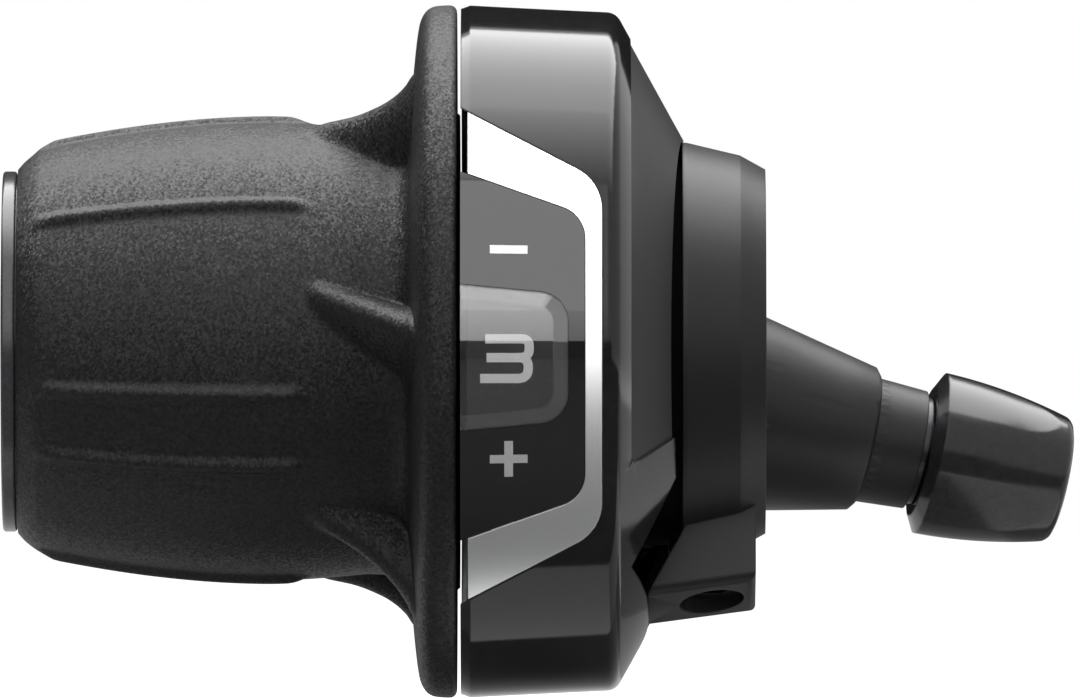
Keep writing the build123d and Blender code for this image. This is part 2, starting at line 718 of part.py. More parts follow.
def make_window_trim():
    """Chrome trim round three sides of the window."""
    band = through_front(inset(outline(*trim_corners(-TRIM_EDGE)), WINDOW_FIT))
    band -= through_front(outline(*panel_corners(-TRIM_EDGE * 2)))
    return band & skin(TRIM_EDGE, SHELL_LENGTH, TRIM_PROUD, TRIM_THICKNESS)


def make_window_panel():
    """Dark gloss panel inside the trim, cut out for the number window."""
    panel = through_front(inset(outline(*panel_corners(-TRIM_EDGE)), WINDOW_FIT))
    panel -= through_front(outline(*view_corners(-TRIM_EDGE * 2)))
    return panel & skin(0, SHELL_LENGTH, 0, PANEL_THICKNESS)


def make_number_window():
    """Clear window over the number ring, standing proud of the panel with a bevelled edge."""
    pane = through_front(inset(outline(*view_corners(-TRIM_EDGE)), WINDOW_FIT))
    pane &= skin(0, SHELL_LENGTH, VIEW_PROUD, PANEL_THICKNESS)
    front = pane.faces().filter_by(GeomType.CONE).sort_by(Axis.Y)[0]
    rim = front.edges().filter_by(lambda edge: edge.center().X > SEAT_GAP)
    return chamfer(rim, VIEW_BEVEL_WIDTH, VIEW_BEVEL_DROP, reference=front)


def make_number_ring():
    """Indicator: a disc on the sleeve with a curved rim that carries the gear numbers."""
    ring = tube(NUMBER_RING_EDGE, NUMBER_RING_EDGE + NUMBER_RING_WEB, sleeve_r + SEAT_GAP, ring_r)
    ring += sector(
        NUMBER_RING_EDGE, number_end_x, ring_in, ring_r, NUMBER_SECTOR_CENTRE, NUMBER_SECTOR_ANGLE
    )
    return ring


def dog_centres():
    """Angles of the dogs that turn the drum."""
    return [360 / DOG_COUNT * index for index in range(DOG_COUNT)]


def snap_span():
    """Places along the bar between which the snap ring lies."""
    low = grip_end_x + SNAP_RING_THICKNESS / 2
    return low, low + SNAP_RING_THICKNESS


def make_grip_sleeve():
    """Hard sleeve inside the rubber, with its end ring, snap ring recess and dogs."""
    ring_r_out = sleeve_r + END_RING_STEP
    body = turned(
        (grip_end_x, sleeve_in),
        (grip_end_x, ring_r_out),
        (ring_face_x, ring_r_out),
        (ring_face_x, sleeve_r),
        (dog_end_x, sleeve_r),
        (dog_end_x, sleeve_in),
    )
    rims = body.edges().filter_by(GeomType.CIRCLE)
    body = fillet(rims.filter_by(lambda edge: edge.radius > sleeve_r + SEAT_GAP), END_RING_ROUNDING)
    recess_end = snap_span()[1] + SNAP_SIDE_CLEARANCE
    body -= tube(grip_end_x - SEAM_GAP, recess_end, 0, snap_outer() + RUNNING_CLEARANCE)
    pitch = 360 / DOG_COUNT
    space = pitch - DOG_ANGLE
    for angle in dog_centres():
        centre = angle + pitch / 2
        body -= sector(SLEEVE_REACH, dog_end_x + SEAM_GAP, tube_r, sleeve_r + SEAM_GAP, centre, space)
    return body


def snap_outer():
    """Outer radius of the snap ring."""
    return tube_r - SNAP_GROOVE_DEPTH + SNAP_RING_HEIGHT


def make_snap_ring():
    """Open steel ring in the tube's groove, which keeps the grip from sliding off."""
    low, high = snap_span()
    inner = tube_r - SNAP_GROOVE_DEPTH + SEAT_GAP
    return sector(low, high, inner, snap_outer(), 180, 360 - SNAP_RING_GAP_ANGLE)


def make_winder_drum():
    """Cable drum driven by the sleeve, with its groove, nipple seat and detent notches."""
    rim_end = groove_x + GROOVE_WIDTH / 2
    drum = turned(
        (drum_x, sleeve_in),
        (drum_x, groove_r),
        (rim_x, groove_r),
        (rim_x, drum_r),
        (rim_x + RIM_WIDTH, drum_r),
        (rim_x + RIM_WIDTH, groove_r),
        (rim_end, groove_r),
        (rim_end, drum_r),
        (rim_end + RIM_WIDTH, drum_r),
        (rim_end + RIM_WIDTH, groove_r),
        (detent_x, groove_r),
        (detent_x, detent_r),
        (detent_x + DETENT_RIM_WIDTH, detent_r),
        (detent_x + DETENT_RIM_WIDTH, groove_r),
        (drum_end_x, groove_r),
        (drum_end_x, sleeve_in),
    )
    slot_angle = DOG_ANGLE + 2 * DOG_CLEARANCE_ANGLE
    for angle in dog_centres():
        drum -= sector(drum_x - SEAM_GAP, rim_x + SEAT_GAP, tube_r, sleeve_r + SEAT_GAP, angle, slot_angle)
    drum += nipple_seat()
    for gear in range(GEAR_COUNT):
        angle = DETENT_ANGLE - GEAR_ANGLE * gear
        drum -= rod(detent_x - SEAT_GAP, drum_end_x, NOTCH_RADIUS, detent_r + LEAF_LIFT, angle)
    return drum


def nipple_seat():
    """Block on the drum with the pocket for the cable's end and its slot into the groove."""
    top = cable_r + nipple_half + NIPPLE_WALL
    half = NIPPLE_LENGTH / 2 + NIPPLE_CLEARANCE
    low_x = groove_x - nipple_boss_half
    high_x = groove_x + nipple_boss_half
    seat = block(low_x, high_x, groove_r - SEAT_GAP, top, half + NIPPLE_WALL, 0)
    pocket = Pos(groove_x, -cable_r, 0) * Cylinder(nipple_half, 2 * half)
    mouth = block(groove_x - nipple_half, groove_x + nipple_half, cable_r, top + SEAM_GAP, half, 0)
    slot_size = (CABLE_DIAMETER + SEAM_GAP, top - groove_r, 2 * half)
    slot = Pos(groove_x, -(cable_r + top) / 2, half) * Box(*slot_size)
    hollow = (pocket + mouth + slot) - tube(0, web_x, 0, groove_r)
    return around(seat - hollow, nipple_angle)


def make_detent_spring():
    """Steel leaf whose bump drops into a notch of the drum at each gear."""
    low, high = leaf_span()
    return leaf_shape(low, high, 0)


def make_thrust_washer():
    """Plain washer between the drum and the bracket's web."""
    low = web_x - WASHER_SEAT_GAP - WASHER_THICKNESS
    return tube(low, low + WASHER_THICKNESS, tube_r + SEAT_GAP, tube_r + WASHER_WIDTH)


def make_cable_guide():
    """Elbow that leads the cable off the drum and out along the adjuster."""
    corner = at(groove_x, guide_r, GUIDE_ANGLE)
    tangent = at(groove_x, cable_r, tangent_angle) - corner
    entry = corner + tangent.normalized() * (GUIDE_BEND_RADIUS + GUIDE_LEAD)
    leave = at(web_end_x - SEAT_GAP, guide_r, GUIDE_ANGLE)
    path = FilletPolyline(entry, corner, leave, radius=GUIDE_BEND_RADIUS)
    section = Plane(entry, z_dir=corner - entry) * (Circle(GUIDE_OUTER_RADIUS) - Circle(GUIDE_BORE_RADIUS))
    return sweep(section, path)


def make_adjuster_insert():
    """Blackened steel threaded insert in the neck, with a flange at the neck's end."""
    hole = ADJUSTER_THREAD_RADIUS + ADJUSTER_THREAD_CLEARANCE
    return on_adjuster(
        (hole, neck_end - INSERT_LENGTH + SEAT_GAP),
        (INSERT_RADIUS, neck_end - INSERT_LENGTH + SEAT_GAP),
        (INSERT_RADIUS, neck_end + SEAT_GAP),
        (INSERT_FLANGE_RADIUS, neck_end + SEAT_GAP),
        (INSERT_FLANGE_RADIUS, flange_end),
        (hole, flange_end),
    )


def make_adjuster_bolt():
    """Hollow adjusting bolt: thread, head and the socket for the cable casing."""
    return on_adjuster(
        (GUIDE_BORE_RADIUS, knob_start - ADJUSTER_THREAD_LENGTH),
        (ADJUSTER_THREAD_RADIUS, knob_start - ADJUSTER_THREAD_LENGTH),
        (ADJUSTER_THREAD_RADIUS, knob_start),
        (ADJUSTER_HEAD_RADIUS, knob_start),
        (ADJUSTER_HEAD_RADIUS, adjuster_end),
        (CASING_SOCKET_RADIUS, adjuster_end),
        (CASING_SOCKET_RADIUS, adjuster_end - CASING_SOCKET_LENGTH),
        (GUIDE_BORE_RADIUS, adjuster_end - CASING_SOCKET_LENGTH),
    )


def make_adjuster_knob():
    """Tapered adjuster knob with shallow crowned facets for the fingers."""
    hole = ADJUSTER_HEAD_RADIUS + KNOB_CLEARANCE
    wide_at = knob_start + KNOB_CHAMFER_LENGTH
    middle = ((KNOB_RADIUS + KNOB_TIP_RADIUS) / 2 + KNOB_TIP_ROUNDING / 2, (wide_at + knob_end) / 2)
    side = ThreePointArc((KNOB_RADIUS, wide_at), middle, (KNOB_TIP_RADIUS, knob_end))
    start = Polyline(
        (hole, knob_end),
        (hole, knob_start),
        (KNOB_RADIUS - KNOB_CHAMFER, knob_start),
        (KNOB_RADIUS, wide_at),
    )
    end = Line((KNOB_TIP_RADIUS, knob_end), (hole, knob_end))
    knob = revolve(Plane.XZ * make_face(Curve() + start + side + end), Axis.Z)
    tip = knob.edges().filter_by(GeomType.CIRCLE).group_by(Axis.Z)[-1]
    knob = fillet(tip.sort_by(SortBy.RADIUS)[-1], KNOB_TIP_ROUNDING)
    cutter = Box(KNOB_RADIUS, 2 * KNOB_RADIUS, 3 * KNOB_LENGTH)
    cutter -= Pos(-KNOB_FACET_RADIUS, 0, 0) * Cylinder(KNOB_FACET_RADIUS, 3 * KNOB_LENGTH)
    cutter = Pos(KNOB_RADIUS - KNOB_FACET_DEPTH, 0, wide_at) * Rot(Y=-KNOB_FACET_LEAN) * cutter
    for index in range(KNOB_FACET_COUNT):
        knob -= Rot(Z=KNOB_FACET_ANGLE + 360 / KNOB_FACET_COUNT * index) * cutter
    return adjuster_plane().location * knob


def make_grip_rubber():
    """Rubber grip: crowned barrel, flared flange, slanted gussets, and ridges by turns paired and single."""
    inner = sleeve_r + SEAT_GAP
    lip = (rubber_end_x, sleeve_r + END_LIP_THICKNESS)
    shoulder = (shoulder_x, grip_radius(shoulder_x))
    valley_x = flange_x - VALLEY_RADIUS
    neck_r = grip_radius(valley_x)
    wall_foot = (flange_x, neck_r + VALLEY_RADIUS)
    wall_top = (flange_x + FLANGE_WALL_LEAN, shell_r - FLANGE_RIM_HEIGHT)
    rim_top = (rubber_face_x - FLANGE_RIM_FLAT, shell_r)
    rim_edge = (rubber_face_x - FLANGE_EDGE, shell_r)
    face_edge = (rubber_face_x, shell_r - FLANGE_EDGE)
    outer = Curve() + Line((rubber_end_x, inner), lip) + SagittaArc(lip, shoulder, SHOULDER_BULGE)
    middle_x = (shoulder_x + valley_x) / 2
    outer += Spline(*[(x, grip_radius(x)) for x in (shoulder_x, middle_x, valley_x)])
    outer += RadiusArc((valley_x, neck_r), wall_foot, -VALLEY_RADIUS)
    outer += Line(wall_foot, wall_top)
    outer += Spline(wall_top, rim_top, tangents=[(FLANGE_WALL_LEAN, wall_top[1] - wall_foot[1]), (1, 0)])
    outer += Polyline(rim_top, rim_edge, face_edge, (rubber_face_x, inner), (rubber_end_x, inner))
    grip = revolve(make_face(outer), Axis.X)
    for index in range(GUSSET_COUNT):
        turn = 360 / GUSSET_COUNT * index
        grip += around(gusset(), GUSSET_ANGLE + turn)
        spread = RIDGE_SPACING / 2 * (index % 2 == 0)
        for angle in {RIDGE_MIDDLE - spread, RIDGE_MIDDLE + spread}:
            grip += around(ridge(), angle + turn)
    return grip - tube(grip_end_x, 0, 0, inner)


def gusset():
    """One slanted web between the barrel and the flange, with a hollow crest."""
    start_x = flange_x - GUSSET_LENGTH
    low = grip_radius(start_x)
    depth = BELLY_THICKNESS / 2
    end_x = flange_x + FLANGE_THICKNESS / 2
    crest_start = (start_x, RIDGE_HEIGHT - low)
    crest_end = (flange_x + FLANGE_WALL_LEAN, FLANGE_RIM_HEIGHT - shell_r)
    crest = Spline(crest_start, crest_end, tangents=[(1, 0), (GUSSET_END_LEAN, -1)])
    rest = Polyline(
        crest_end,
        (end_x, crest_end[1]),
        (end_x, depth - low),
        (start_x, depth - low),
        crest_start,
    )
    web = extrude(make_face(Curve() + crest + rest), GUSSET_WIDTH / 2, both=True)
    edges = web.edges().filter_by(GeomType.BSPLINE)
    web = fillet(edges, GUSSET_ROUNDING)
    pivot = (start_x + flange_x) / 2
    return Pos(pivot, 0, 0) * Rot(Y=GUSSET_SLANT) * Pos(-pivot, 0, 0) * web


def ridge():
    """One low grip ridge that follows the barrel and fades out at both ends."""
    low = rubber_end_x + RIDGE_END_INSET
    high = rubber_face_x - RIDGE_FROM_SEAM
    spread = degrees(RIDGE_WIDTH / grip_radius(belly_x))
    inner_low = low + RIDGE_RUN_OUT
    inner_high = high - RIDGE_RUN_OUT
    crown = [inner_low, (inner_low + inner_high) / 2, inner_high]
    points = [(low, RIDGE_HEIGHT - grip_radius(low))]
    points += [(x, -grip_radius(x) - RIDGE_HEIGHT) for x in crown]
    points += [(high, RIDGE_HEIGHT - grip_radius(high))]
    base = sleeve_r + SHOULDER_THICKNESS / 2
    edge = Curve() + Spline(*points)
    edge += Polyline(points[-1], (high, -base), (low, -base), points[0])
    bar = revolve(make_face(edge), Axis.X, revolution_arc=spread)
    bar = fillet(bar.edges().filter_by(GeomType.BSPLINE), RIDGE_ROUNDING)
    return around(bar, spread / 2)


PIECES = {
    "bracket": make_bracket,
    "housing_shell": make_housing_shell,
    "shell_screws": make_shell_screws,
    "window_trim": make_window_trim,
    "window_panel": make_window_panel,
    "number_window": make_number_window,
    "number_ring": make_number_ring,
    "grip_rubber": make_grip_rubber,
    "grip_sleeve": make_grip_sleeve,
    "snap_ring": make_snap_ring,
    "winder_drum": make_winder_drum,
    "detent_spring": make_detent_spring,
    "thrust_washer": make_thrust_washer,
    "cable_guide": make_cable_guide,
    "cable_port_plug": make_cable_port_plug,
    "clamp_screw": make_clamp_screw,
    "clamp_bush": make_clamp_bush,
    "clamp_shoe": make_clamp_shoe,
    "adjuster_insert": make_adjuster_insert,
    "adjuster_bolt": make_adjuster_bolt,
    "adjuster_knob": make_adjuster_knob,
}

os.makedirs("parts", exist_ok=True)
for node, make in PIECES.items():
    export_step(make(), f"parts/{node}.step")
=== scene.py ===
import json
import logging
import math
from contextlib import contextmanager
from dataclasses import dataclass, replace
from enum import Enum
from functools import lru_cache
from typing import Iterable, Iterator, Optional, Sequence, Union

import bmesh
import bpy
import numpy as np
from mathutils import Matrix, Vector


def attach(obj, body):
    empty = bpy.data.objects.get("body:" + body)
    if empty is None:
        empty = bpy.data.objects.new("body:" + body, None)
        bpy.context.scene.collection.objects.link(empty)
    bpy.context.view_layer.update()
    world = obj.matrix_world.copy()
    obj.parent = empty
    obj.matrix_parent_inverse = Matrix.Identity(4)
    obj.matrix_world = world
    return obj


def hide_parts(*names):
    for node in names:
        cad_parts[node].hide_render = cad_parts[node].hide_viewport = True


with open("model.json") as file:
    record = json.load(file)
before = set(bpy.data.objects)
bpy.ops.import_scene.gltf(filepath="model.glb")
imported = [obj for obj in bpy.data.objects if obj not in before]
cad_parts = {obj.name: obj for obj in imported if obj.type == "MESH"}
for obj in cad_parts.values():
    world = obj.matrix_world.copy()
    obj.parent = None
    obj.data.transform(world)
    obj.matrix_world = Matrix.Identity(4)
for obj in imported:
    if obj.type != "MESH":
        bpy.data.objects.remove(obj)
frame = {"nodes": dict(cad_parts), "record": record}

LOG = logging.getLogger("twist_grip_shifter")
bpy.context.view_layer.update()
MM = 0.001

Colour = tuple[float, float, float]
Point2 = tuple[float, float]
Point3 = tuple[float, float, float]
Value = Union[bpy.types.NodeSocket, bpy.types.Material, str, float, tuple[float, ...]]
Inputs = dict[Union[str, int], Value]


class Body(Enum):
    """The rigid bodies of the shifter that pieces ride on."""

    HOUSING = "housing"
    GRIP = "grip"
    BOLT = "adjuster_bolt"
    KNOB = "adjuster_knob"


class Slot(Enum):
    """Material slots of the record that the dressed pieces belong to."""

    SATIN_BLACK = "satin_black"
    GLOSS_BLACK = "gloss_black"
    PANEL_BLACK = "panel_black"
    TRIM_CHROME = "trim_chrome"
    WINDOW_CLEAR = "window_clear"
    NUMBER_BLACK = "number_black"
    GRIP_BLACK = "grip_black"
    SLEEVE_BLACK = "sleeve_black"
    STEEL = "steel"
    INSERT_METAL = "insert_metal"
    BOLT_METAL = "bolt_metal"
    PLUG_RUBBER = "plug_rubber"


class NodeWriter:
    """Short ways to write the nodes of a tree."""

    def __init__(self, tree: bpy.types.NodeTree) -> None:
        """Start writing in a tree."""
        self.tree = tree

    def fill(self, node: bpy.types.Node, inputs: Inputs) -> None:
        """Link or set inputs of a node.

        Args:
            node: The node.
            inputs: The socket or plain value for each input, by the input's name or number.
        """
        for key, value in inputs.items():
            if isinstance(value, bpy.types.NodeSocket):
                self.tree.links.new(value, node.inputs[key])
            else:
                node.inputs[key].default_value = value

    def node(self, kind: str, inputs: Optional[Inputs] = None, **settings: object) -> bpy.types.Node:
        """Add a node.

        Args:
            kind: Type of the node.
            inputs: What its inputs are filled with.
            settings: The node's own settings, which are made first.

        Returns:
            The new node.
        """
        node = self.tree.nodes.new(kind)
        for name, setting in settings.items():
            setattr(node, name, setting)
        self.fill(node, inputs or {})
        return node

    def math(self, operation: str, *values: Value, kind: str = "ShaderNodeMath") -> bpy.types.NodeSocket:
        """Write one step of arithmetic, on numbers or on vectors."""
        return self.node(kind, dict(enumerate(values)), operation=operation).outputs[0]

    def fade(self, value: Value, low: Value, high: Value) -> bpy.types.NodeSocket:
        """Write a smooth step, which is still 0 at the low value and 1 at the high one."""
        inputs = {"Value": value, "From Min": low, "From Max": high}
        return self.node("ShaderNodeMapRange", inputs, interpolation_type="SMOOTHSTEP").outputs[0]


class GroupKit:
    """Shader node groups that several finishes share."""

    GRAIN_DETAIL = 2.0
    GRAIN_ROUGHNESS = 0.62
    PIT_SCALE = 0.55
    PIT_SHARE = 0.45
    TONE_RANGE = (0.32, 0.68)
    HAZE_DETAIL = 4.0

    @staticmethod
    def _group(
        name: str, inputs: Sequence[tuple[str, str, float]], outputs: Sequence[tuple[str, str]]
    ) -> tuple[NodeWriter, bpy.types.NodeOutputs, bpy.types.Node]:
        """Start a shader group.

        Args:
            name: Name of the group.
            inputs: Name, kind and default of each input.
            outputs: Name and kind of each output.

        Returns:
            A writer for the group, the sockets of its inputs and its output node.
        """
        group = bpy.data.node_groups.new(name, "ShaderNodeTree")
        for label, kind, value in inputs:
            socket = group.interface.new_socket(label, in_out="INPUT", socket_type="NodeSocket" + kind)
            if kind == "Float":
                socket.default_value = value
        for label, kind in outputs:
            group.interface.new_socket(label, in_out="OUTPUT", socket_type="NodeSocket" + kind)
        write = NodeWriter(group)
        return write, write.node("NodeGroupInput").outputs, write.node("NodeGroupOutput")

    @staticmethod
    @lru_cache(maxsize=None)
    def mould_grain() -> bpy.types.NodeTree:
        """Blasted mould grain: fine bumps with a few coarser pits.

        Returns:
            A group with the outputs Height and Tone, both about 0 to 1.
        """
        write, entry, leave = GroupKit._group(
            "Mould grain",
            [("Vector", "Vector", 0.0), ("Grains per metre", "Float", 4000.0)],
            [("Height", "Float"), ("Tone", "Float")],
        )
        place, density = entry["Vector"], entry["Grains per metre"]
        fine = write.node("ShaderNodeTexNoise", {
            "Vector": place, "Scale": density, "Detail": GroupKit.GRAIN_DETAIL,
            "Roughness": GroupKit.GRAIN_ROUGHNESS,
        }).outputs[0]
        coarse = write.math("MULTIPLY", density, GroupKit.PIT_SCALE)
        pits = write.node("ShaderNodeTexVoronoi", {"Vector": place, "Scale": coarse}, feature="F1")
        low, high = GroupKit.TONE_RANGE
        tone = write.node("ShaderNodeMapRange", {"Value": fine, "From Min": low, "From Max": high})
        height = write.math("MULTIPLY_ADD", pits.outputs["Distance"], GroupKit.PIT_SHARE, fine)
        write.fill(leave, {"Height": height, "Tone": tone.outputs[0]})
        return write.tree

    @staticmethod
    @lru_cache(maxsize=None)
    def grain_tilt() -> bpy.types.NodeTree:
        """Sparkle of a blasted mould: each grain leans its own way.

        Returns:
            A group with the output Normal.
        """
        write, entry, leave = GroupKit._group(
            "Grain tilt",
            [("Vector", "Vector", 0.0), ("Normal", "Vector", 0.0), ("Grains per metre", "Float", 6000.0),
             ("Tilt", "Float", 0.3)],
            [("Normal", "Vector")],
        )
        kind = "ShaderNodeVectorMath"
        grains = write.node("ShaderNodeTexVoronoi",
                            {"Vector": entry["Vector"], "Scale": entry["Grains per metre"]})
        centred = write.math("SUBTRACT", grains.outputs["Color"], (0.5, 0.5, 0.5), kind=kind)
        lean = write.node(kind, {0: centred, "Scale": entry["Tilt"]}, operation="SCALE")
        total = write.math("ADD", entry["Normal"], lean.outputs[0], kind=kind)
        write.fill(leave, {"Normal": write.math("NORMALIZE", total, kind=kind)})
        return write.tree

    @staticmethod
    @lru_cache(maxsize=None)
    def handling_haze() -> bpy.types.NodeTree:
        """Slow drift of the gloss from handling and from the mould.

        Returns:
            A group with the output Roughness.
        """
        write, entry, leave = GroupKit._group(
            "Handling haze",
            [("Vector", "Vector", 0.0), ("Patches per metre", "Float", 90.0), ("Middle", "Float", 0.3),
             ("Spread", "Float", 0.05)],
            [("Roughness", "Float")],
        )
        drift = write.node("ShaderNodeTexNoise", {
            "Vector": entry["Vector"], "Scale": entry["Patches per metre"], "Detail": GroupKit.HAZE_DETAIL,
        })
        centred = write.math("SUBTRACT", drift.outputs[0], 0.5)
        rough = write.math("MULTIPLY_ADD", centred, entry["Spread"], entry["Middle"])
        write.fill(leave, {"Roughness": rough})
        return write.tree

    @staticmethod
    @lru_cache(maxsize=None)
    def tone_drift() -> bpy.types.NodeTree:
        """Colour that drifts between two tones by a mask.

        Returns:
            A group with the output Colour.
        """
        write, entry, leave = GroupKit._group(
            "Tone drift",
            [("Mask", "Float", 0.5), ("Dark", "Color", 0.0), ("Light", "Color", 0.0)],
            [("Colour", "Color")],
        )
        mix = write.node("ShaderNodeMix", {0: entry["Mask"], 6: entry["Dark"], 7: entry["Light"]},
                         data_type="RGBA")
        write.fill(leave, {"Colour": mix.outputs[2]})
        return write.tree


def start_material(name: str) -> tuple[bpy.types.Material, NodeWriter, bpy.types.Node]:
    """Start a node material.

    Args:
        name: Name of the material.

    Returns:
        The material, a writer for its nodes and its shader.
    """
    material = bpy.data.materials.new(name)
    material.use_nodes = True
    return material, NodeWriter(material.node_tree), material.node_tree.nodes["Principled BSDF"]


@dataclass(frozen=True)
class Finish:
    """A surface finish: colour, gloss, grain and the softness of its edges.

    Lengths are in millimetres.
    """

    name: str
    colour: Colour
    roughness: float
    haze: float = 0.06
    tone_spread: float = 0.2
    grain_size: float = 0.25
    grain_depth: float = 0.01
    metallic: float = 0.0
    ior: float = 1.5
    specular: float = 0.5
    edge_radius: float = 0.12
    transmission: float = 0.0
    coat: float = 0.0
    tilt: float = 0.0
    tilt_size: float = 0.16
    # Emission from a surface that is no lamp: painted light.
    glow: float = 0.0

    def tones(self) -> tuple[Colour, Colour]:
        """Work out the ends of the finish's colour drift.

        Returns:
            The dark and the light end.
        """
        dark = tuple(c * (1.0 - self.tone_spread) for c in self.colour)
        light = tuple(c * (1.0 + self.tone_spread) for c in self.colour)
        return dark, light


@lru_cache(maxsize=None)
def material_for(finish: Finish) -> bpy.types.Material:
    """Build the node material of a finish.

    Args:
        finish: The finish to turn into a material.

    Returns:
        A material that reads Object coordinates only.
    """
    material, write, shader = start_material(finish.name)
    place = write.node("ShaderNodeTexCoord").outputs["Object"]
    dark, light = finish.tones()
    grain = write.node("ShaderNodeGroup", {
        "Vector": place, "Grains per metre": 1.0 / (finish.grain_size * MM),
    }, node_tree=GroupKit.mould_grain())
    colour = write.node("ShaderNodeGroup", {
        "Mask": grain.outputs["Tone"], "Dark": (*dark, 1.0), "Light": (*light, 1.0),
    }, node_tree=GroupKit.tone_drift())
    haze = write.node("ShaderNodeGroup", {
        "Vector": place, "Middle": finish.roughness, "Spread": finish.haze,
    }, node_tree=GroupKit.handling_haze())
    bump = write.node("ShaderNodeBump",
                      {"Height": grain.outputs["Height"], "Distance": finish.grain_depth * MM})
    if finish.edge_radius > 0.0:
        edge = write.node("ShaderNodeBevel", {"Radius": finish.edge_radius * MM}, samples=4)
        write.fill(bump, {"Normal": edge.outputs["Normal"]})
    normal = bump.outputs["Normal"]
    if finish.tilt > 0.0:
        normal = write.node("ShaderNodeGroup", {
            "Vector": place, "Normal": normal, "Grains per metre": 1.0 / (finish.tilt_size * MM),
            "Tilt": finish.tilt,
        }, node_tree=GroupKit.grain_tilt()).outputs["Normal"]
    # A finish's glow is painted light: its own colour sent out as emission.
    write.fill(shader, {
        "Base Color": colour.outputs["Colour"], "Roughness": haze.outputs["Roughness"], "Normal": normal,
        "Metallic": finish.metallic, "IOR": finish.ior, "Specular IOR Level": finish.specular,
        "Transmission Weight": finish.transmission, "Coat Weight": finish.coat,
        "Emission Color": (*finish.colour, 1.0), "Emission Strength": finish.glow,
    })
    return material


RUBBER = Finish("Blasted grip rubber", (0.009, 0.009, 0.0094), 0.5, haze=0.08, tone_spread=0.5,
                grain_size=0.3, grain_depth=0.008, specular=0.27, edge_radius=0.0, tilt=0.42)
GLOSS = Finish("Gloss black shell", (0.008, 0.008, 0.0085), 0.09, haze=0.03, grain_size=0.9,
               grain_depth=0.0004, specular=0.33, edge_radius=0.2)
PLATE = Finish("Matt cone plate", (0.010, 0.010, 0.0105), 0.40, haze=0.05, grain_size=0.14, grain_depth=0.005,
               specular=0.2, edge_radius=0.1)
KNOB_GLOSS = Finish("Gloss black knob", (0.012, 0.012, 0.013), 0.17, haze=0.05, grain_size=0.6,
                    grain_depth=0.001, specular=0.36, edge_radius=0.3)
SATIN = Finish("Satin black bracket", (0.009, 0.009, 0.0095), 0.43, haze=0.06, grain_size=0.14,
               grain_depth=0.005, specular=0.28, edge_radius=0.2)
# Painted shade: a dark finish without gloss for the spigot in the groove under the cone.
SHADED_SPIGOT = Finish("Spigot in painted shade", (0.004, 0.004, 0.0042), 0.9, grain_size=0.2, grain_depth=0.004,
              specular=0.02, edge_radius=0.0)
PANEL = Finish("Smoked window panel", (0.005, 0.005, 0.0055), 0.02, haze=0.008, grain_size=1.2,
               grain_depth=0.0002, ior=1.6, coat=0.7, edge_radius=0.0)
CHROME = Finish("Satin chrome trim", (0.93, 0.935, 0.94), 0.42, haze=0.04, tone_spread=0.02, grain_size=0.12,
                grain_depth=0.0006, metallic=1.0, edge_radius=0.1)
CLEAR = Finish("Clear number window", (0.95, 0.95, 0.96), 0.02, haze=0.01, tone_spread=0.01, grain_size=1.0,
               grain_depth=0.0002, edge_radius=0.0, ior=1.72, coat=0.9, transmission=1.0)
CLEAR_EDGE = replace(CLEAR, name="Clear window bevel", roughness=0.05, ior=1.6, coat=0.7, transmission=0.97)
NUMBER = Finish("Matt number ring", (0.030, 0.030, 0.031), 0.55, grain_size=0.2, grain_depth=0.004)
INK = Finish("White printed ink", (0.88, 0.88, 0.87), 0.5, haze=0.05, tone_spread=0.03, grain_size=0.15,
             grain_depth=0.002, edge_radius=0.0)
# The same white ink darkened: painted shade on the plus sign, low on the panel where less light falls.
SHADED_SIGN_INK = replace(INK, name="Printed ink in painted shade", colour=(0.30, 0.30, 0.30))
# The numbers' ink glows a little: painted light that brightens them behind the window.
GLOWING_NUMBER_INK = replace(INK, name="Number ink with painted glow", colour=(0.92, 0.92, 0.91), glow=0.16)
SLEEVE = Finish("Polished sleeve end", (0.030, 0.030, 0.032), 0.22, haze=0.05, grain_size=0.3,
                grain_depth=0.002, edge_radius=0.15)
ACETAL = Finish("White slide plastic", (0.72, 0.71, 0.68), 0.45, tone_spread=0.04, grain_size=0.3,
                grain_depth=0.004)
STEEL = Finish("Bright steel", (0.56, 0.56, 0.57), 0.28, tone_spread=0.06, grain_size=0.15, grain_depth=0.002,
               metallic=1.0)
OXIDE = Finish("Black oxide steel", (0.06, 0.06, 0.062), 0.38, tone_spread=0.1, grain_size=0.15,
               grain_depth=0.003, metallic=1.0)
INSERT = Finish("Blackened insert", (0.05, 0.05, 0.053), 0.3, tone_spread=0.06, grain_size=0.12,
                grain_depth=0.002, metallic=1.0)
BOLT = replace(INSERT, name="Turned adjuster metal", colour=(0.45, 0.45, 0.46))
PLUG = Finish("Smooth port rubber", (0.022, 0.022, 0.023), 0.5, grain_size=0.2, grain_depth=0.008)


